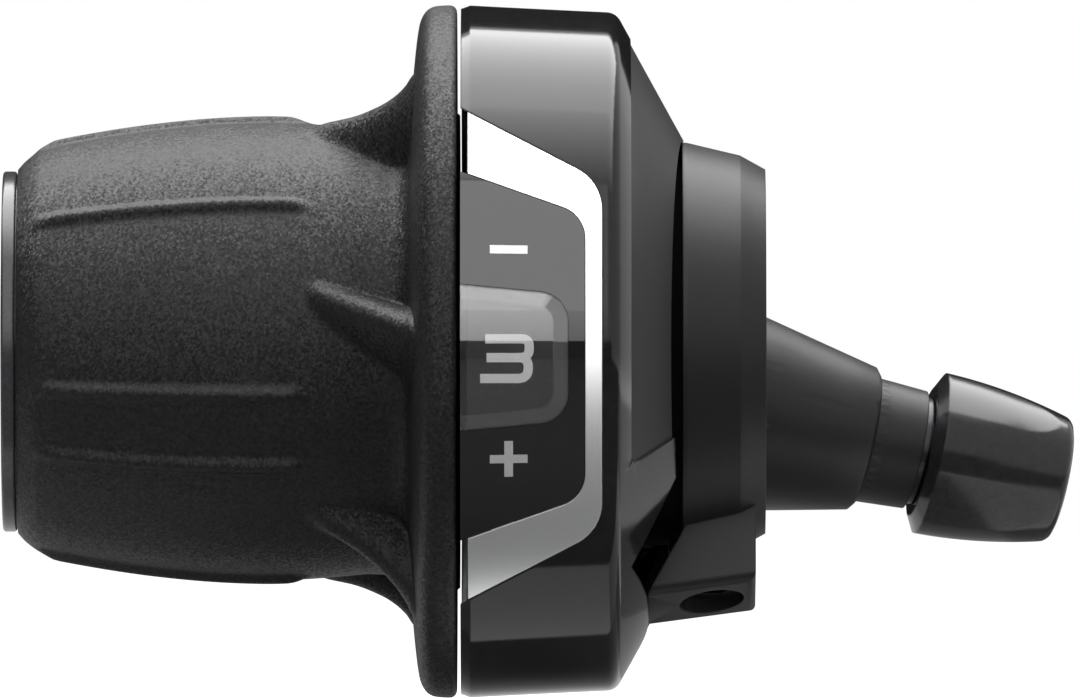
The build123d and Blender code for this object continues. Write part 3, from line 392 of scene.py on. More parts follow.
class Pieces:
    """Ways to turn meshes into finished pieces of the shifter.

    Lengths are in millimetres, angles in degrees.
    """

    MERGE_GAP = 0.0005
    SLIVER = 0.0002
    STRAY_ANGLE = 15.0
    STRAY_AREA = 0.3

    @staticmethod
    def body_of(node: str) -> Body:
        """Look up the body that a CAD node belongs to."""
        groups = frame["record"]["behaviour"]["bodies"]
        return Body(next(name for name, members in groups.items() if node in members))

    @staticmethod
    def add(mesh: bpy.types.Mesh, name: str, *finishes: Finish) -> bpy.types.Object:
        """Put a mesh into the scene.

        Args:
            mesh: The mesh, already in place.
            name: Name of the new object.
            finishes: Finishes that it is given, in the order of its material numbers.

        Returns:
            The linked object at the origin.
        """
        for finish in finishes:
            mesh.materials.append(material_for(finish))
        piece = bpy.data.objects.new(name, mesh)
        bpy.context.scene.collection.objects.link(piece)
        return piece

    @staticmethod
    def settle(piece: bpy.types.Object, body: Body, slot: Slot,
               stands_for: Iterable[str] = ()) -> bpy.types.Object:
        """Tie a finished piece to its body and the nodes it stands for.

        Args:
            piece: The finished piece.
            body: The body it rides on.
            slot: The record's material slot that it belongs to; not used.
            stands_for: CAD nodes that it is shown in place of.

        Returns:
            The same piece.
        """
        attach(piece, body.value)
        names = list(stands_for)
        if names:
            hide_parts(*names)
        LOG.info("%s rides on %s, %d faces", piece.name, body.value, len(piece.data.polygons))
        return piece

    @staticmethod
    @contextmanager
    def editing(mesh: bpy.types.Mesh) -> Iterator[bmesh.types.BMesh]:
        """Open a mesh for editing and write it back at the end.

        Args:
            mesh: The mesh.

        Yields:
            Its editable form.
        """
        work = bmesh.new()
        work.from_mesh(mesh)
        yield work
        work.to_mesh(mesh)
        work.free()

    @staticmethod
    def smooth(mesh: bpy.types.Mesh, angle: float) -> None:
        """Shade a mesh smoothly between edges that are sharper than so many degrees."""
        mesh.shade_smooth()
        mesh.set_sharp_from_angle(angle=math.radians(angle))

    @staticmethod
    def baked(piece: bpy.types.Object) -> None:
        """Turn a piece's modifiers into plain mesh.

        Args:
            piece: The piece, which loses its modifiers.
        """
        evaluated = piece.evaluated_get(bpy.context.evaluated_depsgraph_get())
        mesh = bpy.data.meshes.new_from_object(evaluated)
        piece.modifiers.clear()
        piece.data = mesh

    @staticmethod
    def polished(node: str, finish: Finish, slot: Slot, angle: float = 25.0, turned: float = 0.0,
                 banded: bool = False, crown: float = 0.0) -> bpy.types.Object:
        """Show a CAD node through a merged, smoothly shaded copy.

        Args:
            node: Name of the CAD node.
            finish: Finish of the copy.
            slot: The record's material slot.
            angle: Edges sharper than this many degrees stay sharp.
            turned: How far a face may lean round the bar and still be shaded as truly turned.
            banded: Whether turned faces keep crisp bands along the bar.
            crown: Degrees by which the shading leans up, as on a crowned face.

        Returns:
            The copy, which stands for the node.
        """
        mesh = frame["nodes"][node].data.copy()
        mesh.name = node + "_skin"
        with Pieces.editing(mesh) as work:
            bmesh.ops.remove_doubles(work, verts=work.verts, dist=Pieces.MERGE_GAP * MM)
            bmesh.ops.dissolve_degenerate(work, edges=work.edges, dist=Pieces.SLIVER * MM)
        Pieces.smooth(mesh, angle)
        mesh.materials.clear()
        piece = Pieces.add(mesh, node + "_skin", finish)
        weighted = piece.modifiers.new("Flat faces stay flat", "WEIGHTED_NORMAL")
        weighted.keep_sharp = True
        weighted.weight = 100
        Pieces.baked(piece)
        Pieces.true_round(piece.data, turned, banded, crown)
        return Pieces.settle(piece, Pieces.body_of(node), slot, [node])

    @staticmethod
    def true_round(mesh: bpy.types.Mesh, lean: float, banded: bool, crown: float) -> None:
        """Shade turned faces as truly round.

        The facets' lean round the bar is taken out, and so are stray corners on flat faces.

        Args:
            mesh: The mesh, whose bar lies along X.
            lean: Largest lean of a face round the bar that still counts as turned.
            banded: Whether each face keeps its own slope along the bar.
            crown: Degrees by which the shading leans up.
        """
        points = np.empty(len(mesh.vertices) * 3, np.float32)
        mesh.vertices.foreach_get("co", points)
        points = points.reshape(-1, 3)
        corners = np.empty(len(mesh.loops), np.int32)
        mesh.loops.foreach_get("vertex_index", corners)
        normals = np.array([tuple(n.vector) for n in mesh.corner_normals])

        def round_way(places: np.ndarray) -> np.ndarray:
            """Work out unit directions round the bar at some places."""
            way = np.stack([np.zeros(len(places)), -places[:, 2], places[:, 1]], axis=1)
            return way / np.maximum(np.linalg.norm(way, axis=1), 1e-9)[:, None]

        centres = np.array([tuple(face.center) for face in mesh.polygons])
        faces = np.array([tuple(face.normal) for face in mesh.polygons])
        sizes = np.array([face.loop_total for face in mesh.polygons])
        is_turned = np.abs(np.sum(faces * round_way(centres), axis=1)) < lean
        chosen = np.repeat(is_turned, sizes)
        way = round_way(points[corners])
        flat = np.repeat(faces, sizes, axis=0)
        starts = np.concatenate([[0], np.cumsum(sizes)[:-1]])
        agree = np.minimum.reduceat(np.sum(normals * flat, axis=1), starts)
        strays = agree < math.cos(math.radians(Pieces.STRAY_ANGLE))
        areas = np.array([face.area for face in mesh.polygons])
        stray = np.repeat(strays & (areas > Pieces.STRAY_AREA * MM**2), sizes)
        normals[stray] = flat[stray]
        base = flat if banded else normals
        straight = base - np.sum(base * way, axis=1)[:, None] * way
        straight /= np.maximum(np.linalg.norm(straight, axis=1), 1e-9)[:, None]
        normals[chosen] = straight[chosen]
        up, over = math.sin(math.radians(crown)), math.cos(math.radians(crown))
        lifted = np.stack([normals[:, 0], normals[:, 1] * over + normals[:, 2] * up,
                           normals[:, 2] * over - normals[:, 1] * up], axis=1)
        mesh.normals_split_custom_set(lifted.tolist())

    @staticmethod
    def dressed(node: str, finish: Finish) -> None:
        """Give its finish to a CAD node that stays as it is.

        Args:
            node: Name of the CAD node.
            finish: Its finish.
        """
        mesh = frame["nodes"][node].data
        mesh.materials.clear()
        mesh.materials.append(material_for(finish))
        LOG.info("%s keeps its CAD mesh in %s", node, finish.name)

    @staticmethod
    def turned_mesh(name: str, points: np.ndarray) -> bpy.types.Mesh:
        """Close rows of points, which run around an axis, into a mesh.

        Args:
            name: Name of the mesh.
            points: Places in millimetres by row and by step around; the last row joins the first.

        Returns:
            The closed mesh, with its faces outwards.
        """
        rows, cols = points.shape[:2]
        low = np.arange(rows)[:, None] * cols
        high = (np.arange(rows)[:, None] + 1) % rows * cols
        side = np.arange(cols)[None, :]
        step = (side + 1) % cols
        faces = np.stack([low + side, low + step, high + step, high + side], axis=-1).reshape(-1, 4)
        mesh = bpy.data.meshes.new(name)
        mesh.from_pydata((points.reshape(-1, 3) * MM).tolist(), [], faces.tolist())
        with Pieces.editing(mesh) as work:
            bmesh.ops.recalc_face_normals(work, faces=work.faces)
        return mesh


class FieldTree(NodeWriter):
    """A geometry node tree with named sizes."""

    def __init__(self, name: str, sizes: Iterable[str]) -> None:
        """Start the tree with a geometry input and output and a number for each size.

        Args:
            name: Name of the tree.
            sizes: Names of its sizes.
        """
        super().__init__(bpy.data.node_groups.new(name, "GeometryNodeTree"))
        new_socket = self.tree.interface.new_socket
        for way in ("INPUT", "OUTPUT"):
            new_socket("Geometry", in_out=way, socket_type="NodeSocketGeometry")
        self.identifiers = {size: new_socket(size, in_out="INPUT", socket_type="NodeSocketFloat").identifier
                            for size in sizes}
        self.entry = self.node("NodeGroupInput").outputs
        self.leave = self.node("NodeGroupOutput")

    def curve(self, value: Value, points: Sequence[Point2]) -> bpy.types.NodeSocket:
        """Read a drawn curve.

        Args:
            value: Place along the curve, 0 to 1.
            points: The curve's points, both sides 0 to 1, its two ends first.

        Returns:
            The curve's height there.
        """
        step = self.node("ShaderNodeFloatCurve")
        drawn = step.mapping.curves[0].points
        for index, (across, up) in enumerate(points):
            if index < 2:
                drawn[index].location = (across, up)
            else:
                drawn.new(across, up)
        for point in drawn:
            point.handle_type = "AUTO_CLAMPED"
        step.mapping.update()
        self.fill(step, {"Value": value})
        return step.outputs[0]


@dataclass
class RubberGrip:
    """The flared rubber grip with its ridges and gussets.

    Lengths are in millimetres, angles in degrees from the rider's side upwards.
    """

    bore_radius: float = 13.82
    face_x: float = -0.3
    end_x: float = -34.85
    face_radius: float = 22.0
    lip_x: float = -0.06
    lip_radius: float = 18.6
    lip_bevel: float = 0.2
    lip_middle_radius: float = 16.0
    row_step: float = 0.3
    rows_per_knot: tuple[int, int] = (2, 8)
    sharp_angle: float = 55.0
    # Place and radius along the skin, from the outer end to the inner face.
    outline: tuple[Point2, ...] = (
        (-34.85, 14.33), (-34.6, 14.62), (-34.4, 14.85), (-34.1, 15.12), (-33.8, 15.36), (-33.5, 15.57),
        (-33.15, 15.78), (-32.5, 15.96), (-31.6, 16.21), (-29.2, 16.66), (-26.85, 17.05), (-24.5, 17.38),
        (-22.1, 17.65), (-19.8, 17.85), (-17.4, 17.98), (-15.0, 18.03), (-12.7, 17.96), (-11.0, 17.85),
        (-9.0, 17.68), (-7.5, 17.53), (-6.3, 17.56), (-5.6, 17.6), (-5.0, 17.78), (-4.6, 18.05),
        (-4.3, 18.4), (-4.08, 18.9), (-3.95, 19.6), (-3.86, 20.4), (-3.7, 22.2), (-3.54, 23.8), (-3.4, 24.9),
        (-3.23, 25.85), (-2.95, 26.5), (-2.6, 26.92), (-2.2, 27.13), (-1.9, 27.2), (-1.3, 27.25),
        (-0.75, 27.25), (-0.48, 27.1), (-0.35, 26.9), (-0.3, 26.7),
    )
    around: int = 564
    count: int = 6
    gusset_angle: float = 9.4
    gusset_middle: float = -8.3
    gusset_turn: float = -1.51
    crest_x: Point2 = (-14.0, -2.5)
    crest_radius: Point2 = (12.0, 28.0)
    # Place and radius along a gusset's crest; the first two points are its ends.
    crest: tuple[Point2, ...] = (
        (-14.0, 12.0), (-2.5, 25.1), (-12.7, 16.9), (-12.1, 17.75), (-11.5, 18.25), (-10.6, 18.73),
        (-9.6, 19.12), (-8.3, 19.67), (-6.8, 20.6), (-5.6, 21.58), (-4.4, 23.05), (-3.8, 24.2), (-3.2, 25.0),
    )
    upper_slope: float = 6.0
    lower_slope: float = 2.6
    crest_round: float = 4.0
    blend: float = 0.9
    ridge_angles: tuple[float, float, float] = (-11.0, -30.0, 39.5)
    ridge_width: float = 0.2
    ridge_flanks: Point2 = (0.85, 0.7)
    ridge_height: float = 0.5
    ridge_ends: Point2 = (-34.0, -11.4)
    ridge_fade: float = 2.2

    def build(self) -> bpy.types.Object:
        """Make the grip and dress it.

        Returns:
            The grip, which stands for the CAD rubber.
        """
        piece = Pieces.add(self._turned_body(), "grip_rubber_skin", RUBBER)
        tree, values = self._relief_tree()
        relief = piece.modifiers.new("Ridges and gussets", "NODES")
        relief.node_group = tree.tree
        for name, value in values.items():
            relief[tree.identifiers[name]] = value
        Pieces.baked(piece)
        Pieces.smooth(piece.data, self.sharp_angle)
        return Pieces.settle(piece, Body.GRIP, Slot.GRIP_BLACK, ["grip_rubber"])

    def _profile(self) -> tuple[np.ndarray, np.ndarray]:
        """Draw the closed half section of the grip, smooth through the outline's points.

        Returns:
            Points as rows of place and radius, and a mask that is 1 on the outer skin.
        """
        knots = np.array(self.outline)
        padded = np.vstack([2 * knots[0] - knots[1], knots, 2 * knots[-1] - knots[-2]])
        rows = []
        for before, start, end, after in zip(padded, padded[1:], padded[2:], padded[3:]):
            steps = int(np.clip(np.linalg.norm(end - start) / self.row_step, *self.rows_per_knot))
            for part in np.arange(steps) / steps:
                rows.append(0.5 * (2 * start + (end - before) * part
                                   + (2 * before - 5 * start + 4 * end - after) * part**2
                                   + (3 * start - before - 3 * end + after) * part**3))
        rows.append(knots[-1])
        outer = np.array(rows)
        inner = np.array([
            (self.face_x, self.face_radius), (self.face_x, self.lip_radius + self.lip_bevel),
            (self.lip_x, self.lip_radius), (self.lip_x, self.lip_middle_radius),
            (self.lip_x, self.bore_radius), (self.end_x, self.bore_radius),
        ])
        mask = np.concatenate([np.ones(len(outer)), np.zeros(len(inner))])
        # The skin's last point also bounds the flat face, so it stays where it is.
        mask[len(outer) - 1] = 0.0
        return np.vstack([outer, inner]), mask

    def _turned_body(self) -> bpy.types.Mesh:
        """Turn the half section around the bar, with its rows of faces laid along the gussets.

        Returns:
            A closed mesh with the point attribute "skin".
        """
        section, mask = self._profile()
        walk = np.clip(section[:, 0], *self.crest_x) - self.gusset_middle
        turn = (np.arange(self.around) * 2 * np.pi / self.around)[None, :]
        turn = turn + (math.radians(self.gusset_turn) * walk * (mask > 0.0))[:, None]
        points = np.stack([np.broadcast_to(section[:, :1], turn.shape), section[:, 1:] * -np.cos(turn),
                           section[:, 1:] * np.sin(turn)], axis=-1)
        mesh = Pieces.turned_mesh("grip_rubber_skin", points)
        skin = mesh.attributes.new("skin", "FLOAT", "POINT")
        skin.data.foreach_set("value", np.repeat(mask, self.around).astype(np.float32))
        return mesh

    def _relief_tree(self) -> tuple[FieldTree, dict[str, float]]:
        """Write the rule that raises the ridges and gussets.

        Returns:
            The tree and the value of each of its named inputs.
        """
        lean = (self.upper_slope - self.lower_slope) / 2
        steepness = (self.upper_slope + self.lower_slope) / 2
        upright = math.sqrt(steepness**2 - lean**2)
        values = {
            "Pitch": 2 * math.pi / self.count,
            "Gusset angle": math.radians(self.gusset_angle),
            "Gusset middle": self.gusset_middle * MM,
            "Gusset turn": math.radians(self.gusset_turn) / MM,
            "Lean": lean,
            "Steepness": steepness,
            "Crest round": self.crest_round * MM,
            "Crest shift": self.crest_round * MM * lean / upright,
            "Crest lift": self.crest_round * MM * (steepness - upright),
            "Blend": self.blend * MM,
            "First ridge": math.radians(self.ridge_angles[0]),
            "Second ridge": math.radians(self.ridge_angles[1]),
            "Single ridge": math.radians(self.ridge_angles[2]),
            "Ridge half width": self.ridge_width / 2 * MM,
            "Ridge upper foot": (self.ridge_width / 2 + self.ridge_flanks[0]) * MM,
            "Ridge lower foot": (self.ridge_width / 2 + self.ridge_flanks[1]) * MM,
            "Ridge height": self.ridge_height * MM,
            "Ridge start": self.ridge_ends[0] * MM,
            "Ridge end": self.ridge_ends[1] * MM,
            "Ridge fade": self.ridge_fade * MM,
        }
        tree = FieldTree("Grip relief", values)
        place = tree.node("GeometryNodeInputPosition")
        x, y, z = tree.node("ShaderNodeSeparateXYZ", {0: place.outputs[0]}).outputs
        radius = tree.math("SQRT", tree.math("ADD", tree.math("MULTIPLY", y, y), tree.math("MULTIPLY", z, z)))
        angle = tree.math("ARCTAN2", z, tree.math("MULTIPLY", y, -1.0))
        raised = self._gussets(tree, x, angle, radius)
        for label in ("First ridge", "Second ridge", "Single ridge"):
            raised = tree.math("ADD", raised, self._ridge(tree, x, angle, radius, tree.entry[label]))
        skin = tree.node("GeometryNodeInputNamedAttribute", {"Name": "skin"}, data_type="FLOAT")
        gain = tree.math("DIVIDE", tree.math("SUBTRACT", raised, radius), radius)
        gain = tree.math("MULTIPLY", gain, skin.outputs["Attribute"])
        offset = tree.node("ShaderNodeCombineXYZ", {"Y": tree.math("MULTIPLY", y, gain),
                                                    "Z": tree.math("MULTIPLY", z, gain)})
        move = tree.node("GeometryNodeSetPosition", {"Geometry": tree.entry["Geometry"],
                                                     "Offset": offset.outputs[0]})
        realise = tree.node("GeometryNodeRealizeInstances", {0: move.outputs[0]})
        paint = tree.node("GeometryNodeSetMaterial", {"Geometry": realise.outputs[0],
                                                      "Material": material_for(RUBBER)})
        tree.fill(tree.leave, {"Geometry": paint.outputs[0]})
        return tree, values

    def _wrapped(self, tree: FieldTree, angle: Value, centre: Value, pitches: float) -> bpy.types.NodeSocket:
        """Measure the angle from the nearest of the centres.

        Args:
            tree: The tree to write in.
            angle: Angle around the bar.
            centre: Angle of one centre.
            pitches: Number of pitches after which the centres repeat.

        Returns:
            The angle, from minus to plus half a repeat.
        """
        half = tree.math("MULTIPLY", tree.entry["Pitch"], pitches / 2)
        low = tree.math("MULTIPLY", half, -1.0)
        return tree.math("WRAP", tree.math("SUBTRACT", angle, centre), half, low)

    def _gussets(self, tree: FieldTree, x: Value, angle: Value, radius: Value) -> bpy.types.NodeSocket:
        """Radius of the skin with the slanting gussets blended into it.

        Args:
            tree: The tree to write in.
            x: Place along the bar.
            angle: Angle around the bar.
            radius: Radius of the plain turned skin.

        Returns:
            The raised radius.
        """
        size = tree.entry
        low_x, high_x = (v * MM for v in self.crest_x)
        low_r, high_r = (v * MM for v in self.crest_radius)
        drawn = [((px * MM - low_x) / (high_x - low_x), (pr * MM - low_r) / (high_r - low_r))
                 for px, pr in self.crest]
        along = tree.math("DIVIDE", tree.math("SUBTRACT", x, low_x), high_x - low_x)
        crest = tree.math("MULTIPLY_ADD", tree.curve(along, drawn), high_r - low_r, low_r)
        walk = tree.math("SUBTRACT", x, size["Gusset middle"])
        centre = tree.math("MULTIPLY_ADD", walk, size["Gusset turn"], size["Gusset angle"])
        aside = tree.math("MULTIPLY", self._wrapped(tree, angle, centre, 1.0), crest)
        aside = tree.math("SUBTRACT", aside, size["Crest shift"])
        soft = size["Crest round"]
        squares = tree.math("ADD", tree.math("MULTIPLY", aside, aside), tree.math("MULTIPLY", soft, soft))
        distance = tree.math("SQRT", squares)
        fall = tree.math("MULTIPLY", tree.math("SUBTRACT", distance, soft), size["Steepness"])
        fall = tree.math("ADD", fall, tree.math("MULTIPLY_ADD", aside, size["Lean"], size["Crest lift"]))
        return tree.math("SMOOTH_MAX", radius, tree.math("SUBTRACT", crest, fall), size["Blend"])

    def _ridge(self, tree: FieldTree, x: Value, angle: Value, radius: Value,
               centre: Value) -> bpy.types.NodeSocket:
        """Height of one ridge, which comes back every second pitch.

        Args:
            tree: The tree to write in.
            x: Place along the bar.
            angle: Angle around the bar.
            radius: Radius of the plain turned skin.
            centre: Angle of the ridge's middle.

        Returns:
            The height above the plain skin.
        """
        size = tree.entry
        aside = tree.math("MULTIPLY", self._wrapped(tree, angle, centre, 2.0), radius)
        above = tree.fade(aside, size["Ridge half width"], size["Ridge upper foot"])
        other_way = tree.math("MULTIPLY", aside, -1.0)
        below = tree.fade(other_way, size["Ridge half width"], size["Ridge lower foot"])
        across = tree.math("SUBTRACT", tree.math("SUBTRACT", 1.0, above), below)
        start = tree.fade(x, size["Ridge start"], tree.math("ADD", size["Ridge start"], size["Ridge fade"]))
        end = tree.fade(x, tree.math("SUBTRACT", size["Ridge end"], size["Ridge fade"]), size["Ridge end"])
        along = tree.math("MULTIPLY", start, tree.math("SUBTRACT", 1.0, end))
        return tree.math("MULTIPLY", tree.math("MULTIPLY", across, along), size["Ridge height"])


@dataclass
class Lettering:
    """Flat printed strokes laid on a turned surface.

    Lengths are in millimetres. A stroke's points are place along the bar and height above the sign's middle.
    """

    width: float = 0.72
    step: float = 0.12
    lift: float = 0.02
    film: float = 0.03
    shares: tuple[float, ...] = (-0.5, -0.17, 0.17, 0.5)
    ink: Finish = INK

    def lay(self, name: str, strokes: Sequence[Sequence[Point2]], radius: float, draft: float,
            angle: float) -> bpy.types.Object:
        """Lay strokes on a turned surface.

        Args:
            name: Name of the piece.
            strokes: The sign's strokes, each a line of points.
            radius: Radius of the surface at the housing's edge.
            draft: Fall of the radius per millimetre along the bar.
            angle: Angle of the sign's middle in degrees.

        Returns:
            The finished sign with its ink.
        """
        mesh = bpy.data.meshes.new(name)
        with Pieces.editing(mesh) as work:
            for stroke in strokes:
                self._ribbon(work, np.array(stroke, float), radius, draft, math.radians(angle))
            bmesh.ops.recalc_face_normals(work, faces=work.faces)
        return Pieces.add(mesh, name, self.ink)

    def _ribbon(self, work: bmesh.types.BMesh, line: np.ndarray, radius: float, draft: float,
                angle: float) -> None:
        """Add one stroke as a thin raised ribbon.

        Args:
            work: Mesh to add to.
            line: Points of the stroke.
            radius: Radius of the surface at the housing's edge.
            draft: Fall of the radius per millimetre along the bar.
            angle: Angle of the sign's middle in radians.
        """
        points = self._even(line)
        heading = np.gradient(points, axis=0)
        heading /= np.linalg.norm(heading, axis=1)[:, None]
        normal = np.stack([-heading[:, 1], heading[:, 0]], axis=1)
        rows = []
        for height in (self.lift, self.lift + self.film):
            for share in self.shares:
                flat = points + normal * self.width * share
                reach = radius - draft * flat[:, 0] + height
                turn = angle + flat[:, 1] / radius
                rows.append([work.verts.new(Vector((px, -r * math.cos(t), r * math.sin(t))) * MM)
                             for px, r, t in zip(flat[:, 0], reach, turn)])
        across = len(self.shares)
        loop = rows[:across] + rows[across:][::-1]
        for one, two in zip(loop, loop[1:] + loop[:1]):
            for index in range(len(points) - 1):
                work.faces.new((one[index], one[index + 1], two[index + 1], two[index]))
        for end in (0, len(points) - 1):
            work.faces.new([row[end] for row in loop])

    def _even(self, line: np.ndarray) -> np.ndarray:
        """Space points evenly along a line.

        Args:
            line: Points of the line.

        Returns:
            Points at even steps.
        """
        lengths = np.concatenate([[0.0], np.cumsum(np.linalg.norm(np.diff(line, axis=0), axis=1))])
        places = np.linspace(0.0, lengths[-1], max(int(lengths[-1] / self.step), 4))
        return np.stack([np.interp(places, lengths, side) for side in line.T], axis=1)


def rounded(points: Sequence[Point2], reaches: Sequence[float], steps: int = 6) -> list[Point2]:
    """Round the corners of a stroke.

    Args:
        points: The stroke's two ends with its corners between them.
        reaches: Distance from each corner at which its rounding starts.
        steps: Number of parts of each rounding.

    Returns:
        Points along the rounded stroke.
    """
    line = [points[0]]
    shares = np.linspace(0.0, 1.0, steps + 1)
    for start, middle, end, reach in zip(*(np.array(points[k:]) for k in range(3)), reaches):
        first = middle + (start - middle) / np.linalg.norm(start - middle) * reach
        last = middle + (end - middle) / np.linalg.norm(end - middle) * reach
        line.extend(tuple((1 - s) ** 2 * first + 2 * s * (1 - s) * middle + s**2 * last) for s in shares)
    return [*line, points[-1]]


@dataclass
class NumberRing:
    """The ring that carries the gear numbers past the window."""

    radius: float = 25.08
    first_angle: float = -1.3
    gear_angle: float = 28.0

    def build(self) -> None:
        """Dress the ring and print its numbers."""
        Pieces.polished("number_ring", NUMBER, Slot.NUMBER_BLACK, turned=0.12)
        # The numbers are printed in ink with a painted glow.
        print_on = Lettering(ink=GLOWING_NUMBER_INK)
        for index, (name, strokes) in enumerate(self._numbers().items()):
            sign = print_on.lay(name, strokes, self.radius, 0.0, self.first_angle - index * self.gear_angle)
            Pieces.settle(sign, Body.GRIP, Slot.NUMBER_BLACK)

    def _numbers(self) -> dict[str, list[list[Point2]]]:
        """Draw the numbers, place along the bar and height in millimetres.

        Returns:
            The strokes of each number, first the one that shows at rest.
        """
        three = [
            rounded([(1.95, 1.56), (5.38, 1.56), (5.38, 0.1), (2.05, 0.1)], (0.6, 0.72)),
            rounded([(4.2, 0.1), (5.3, 0.1), (5.3, -1.52), (1.55, -1.52)], (0.72, 0.8)),
        ]
        two = [
            rounded([(1.8, 1.56), (5.3, 1.56), (5.3, 0.02), (1.9, 0.02), (1.9, -1.52)], (0.7, 0.6, 0.6)),
            [(1.55, -1.52), (5.6, -1.52)],
        ]
        one = [[(2.75, 0.9), (3.75, 1.6), (3.95, 1.3), (3.95, -1.86)]]
        return {"number_three": three, "number_two": two, "number_one": one}


@dataclass
class NumberWindow:
    """Clear pane over the number ring: a thin dome with a bevelled rim on three sides.

    Lengths are in millimetres. The outline is seen square from the rider's side.
    """

    right_x: float = 8.38
    middle_z: float = -0.45
    left_half: float = 5.69
    right_half: float = 4.9
    corner_radius: float = 2.35
    radius: float = 27.58
    draft: float = 0.0492
    bevel_width: float = 1.1
    bevel_drop: float = 0.26
    thickness: float = 0.25
    bevel_steps: int = 6
    inner_steps: int = 24
    corner_points: int = 14
    side_points: int = 24
    right_points: int = 10
    sharp_angle: float = 9.0
    merge_gap: float = 0.001
    sliver: float = 0.0005

    def build(self) -> bpy.types.Object:
        """Make the pane and dress it.

        Returns:
            The pane, which stands for the CAD window.
        """
        rings = self._rings()
        rows, cols = len(rings), len(rings[0][0])
        points = []
        for outline, drop in rings:
            reach = self.radius - self.draft * outline[:, 0] - drop
            depth = -np.sqrt(reach**2 - outline[:, 1] ** 2)
            points.extend(np.stack([outline[:, 0], depth, outline[:, 1]], axis=1) * MM)
        faces = [(r * cols + c, r * cols + c + 1, (r + 1) * cols + c + 1, (r + 1) * cols + c)
                 for r in range(rows - 1) for c in range(cols - 1)]
        mesh = bpy.data.meshes.new("number_window_skin")
        mesh.from_pydata([tuple(p) for p in points], [], faces)
        mesh.polygons.foreach_set("material_index", [int(index < self.bevel_steps * (cols - 1))
                                                     for index in range(len(faces))])
        with Pieces.editing(mesh) as work:
            bmesh.ops.remove_doubles(work, verts=work.verts, dist=self.merge_gap * MM)
            bmesh.ops.dissolve_degenerate(work, edges=work.edges, dist=self.sliver * MM)
            bmesh.ops.recalc_face_normals(work, faces=work.faces)
            if sum(face.normal.y for face in work.faces) > 0.0:
                bmesh.ops.reverse_faces(work, faces=work.faces)
        piece = Pieces.add(mesh, "number_window_skin", CLEAR, CLEAR_EDGE)
        wall = piece.modifiers.new("Pane wall", "SOLIDIFY")
        wall.thickness = self.thickness * MM
        wall.offset = -1.0
        Pieces.baked(piece)
        Pieces.smooth(piece.data, self.sharp_angle)
        return Pieces.settle(piece, Body.HOUSING, Slot.WINDOW_CLEAR, ["number_window"])

    def _rings(self) -> list[tuple[np.ndarray, float]]:
        """Outlines from the rim inwards.

        Returns:
            Each outline from its lower to its upper left end, with its drop below the dome.
        """
        rings = []
        for step in range(self.bevel_steps + 1):
            share = step / self.bevel_steps
            rings.append((self._outline(self.bevel_width * share), self.bevel_drop * (1.0 - share)))
        last = rings[-1][0]
        spine = np.stack([np.minimum(last[:, 0], self.right_x - 2 * self.corner_radius),
                          np.full(len(last), self.middle_z)], axis=1)
        for step in range(1, self.inner_steps + 1):
            share = step / self.inner_steps
            rings.append((last * (1.0 - share) + spine * share, 0.0))
        return rings

    def _outline(self, inset: float) -> np.ndarray:
        """Outline of the pane drawn in by a distance on its three bevelled sides.

        Args:
            inset: Distance from the rim.

        Returns:
            Rows of place along the bar and height.
        """
        slope = (self.left_half - self.right_half) / self.right_x
        lean = math.atan(slope)
        centre_x = self.right_x - self.corner_radius
        centre_half = self.left_half - slope * centre_x - self.corner_radius / math.cos(lean)
        turns = np.linspace(math.pi / 2 - lean, 0.0, self.corner_points)
        bend = self.corner_radius - inset
        arc = np.stack([centre_x + bend * np.cos(turns), centre_half + bend * np.sin(turns)], axis=1)
        edge_half = self.left_half - inset / math.cos(lean)
        side = np.linspace((0.0, edge_half), arc[0], self.side_points, endpoint=False)
        right = np.linspace(arc[-1], (arc[-1][0], 0.0), self.right_points)[1:]
        upper = np.vstack([side, arc, right])
        lower = upper[-2::-1] * (1.0, -1.0)
        return np.vstack([upper, lower])[::-1] + (0.0, self.middle_z)


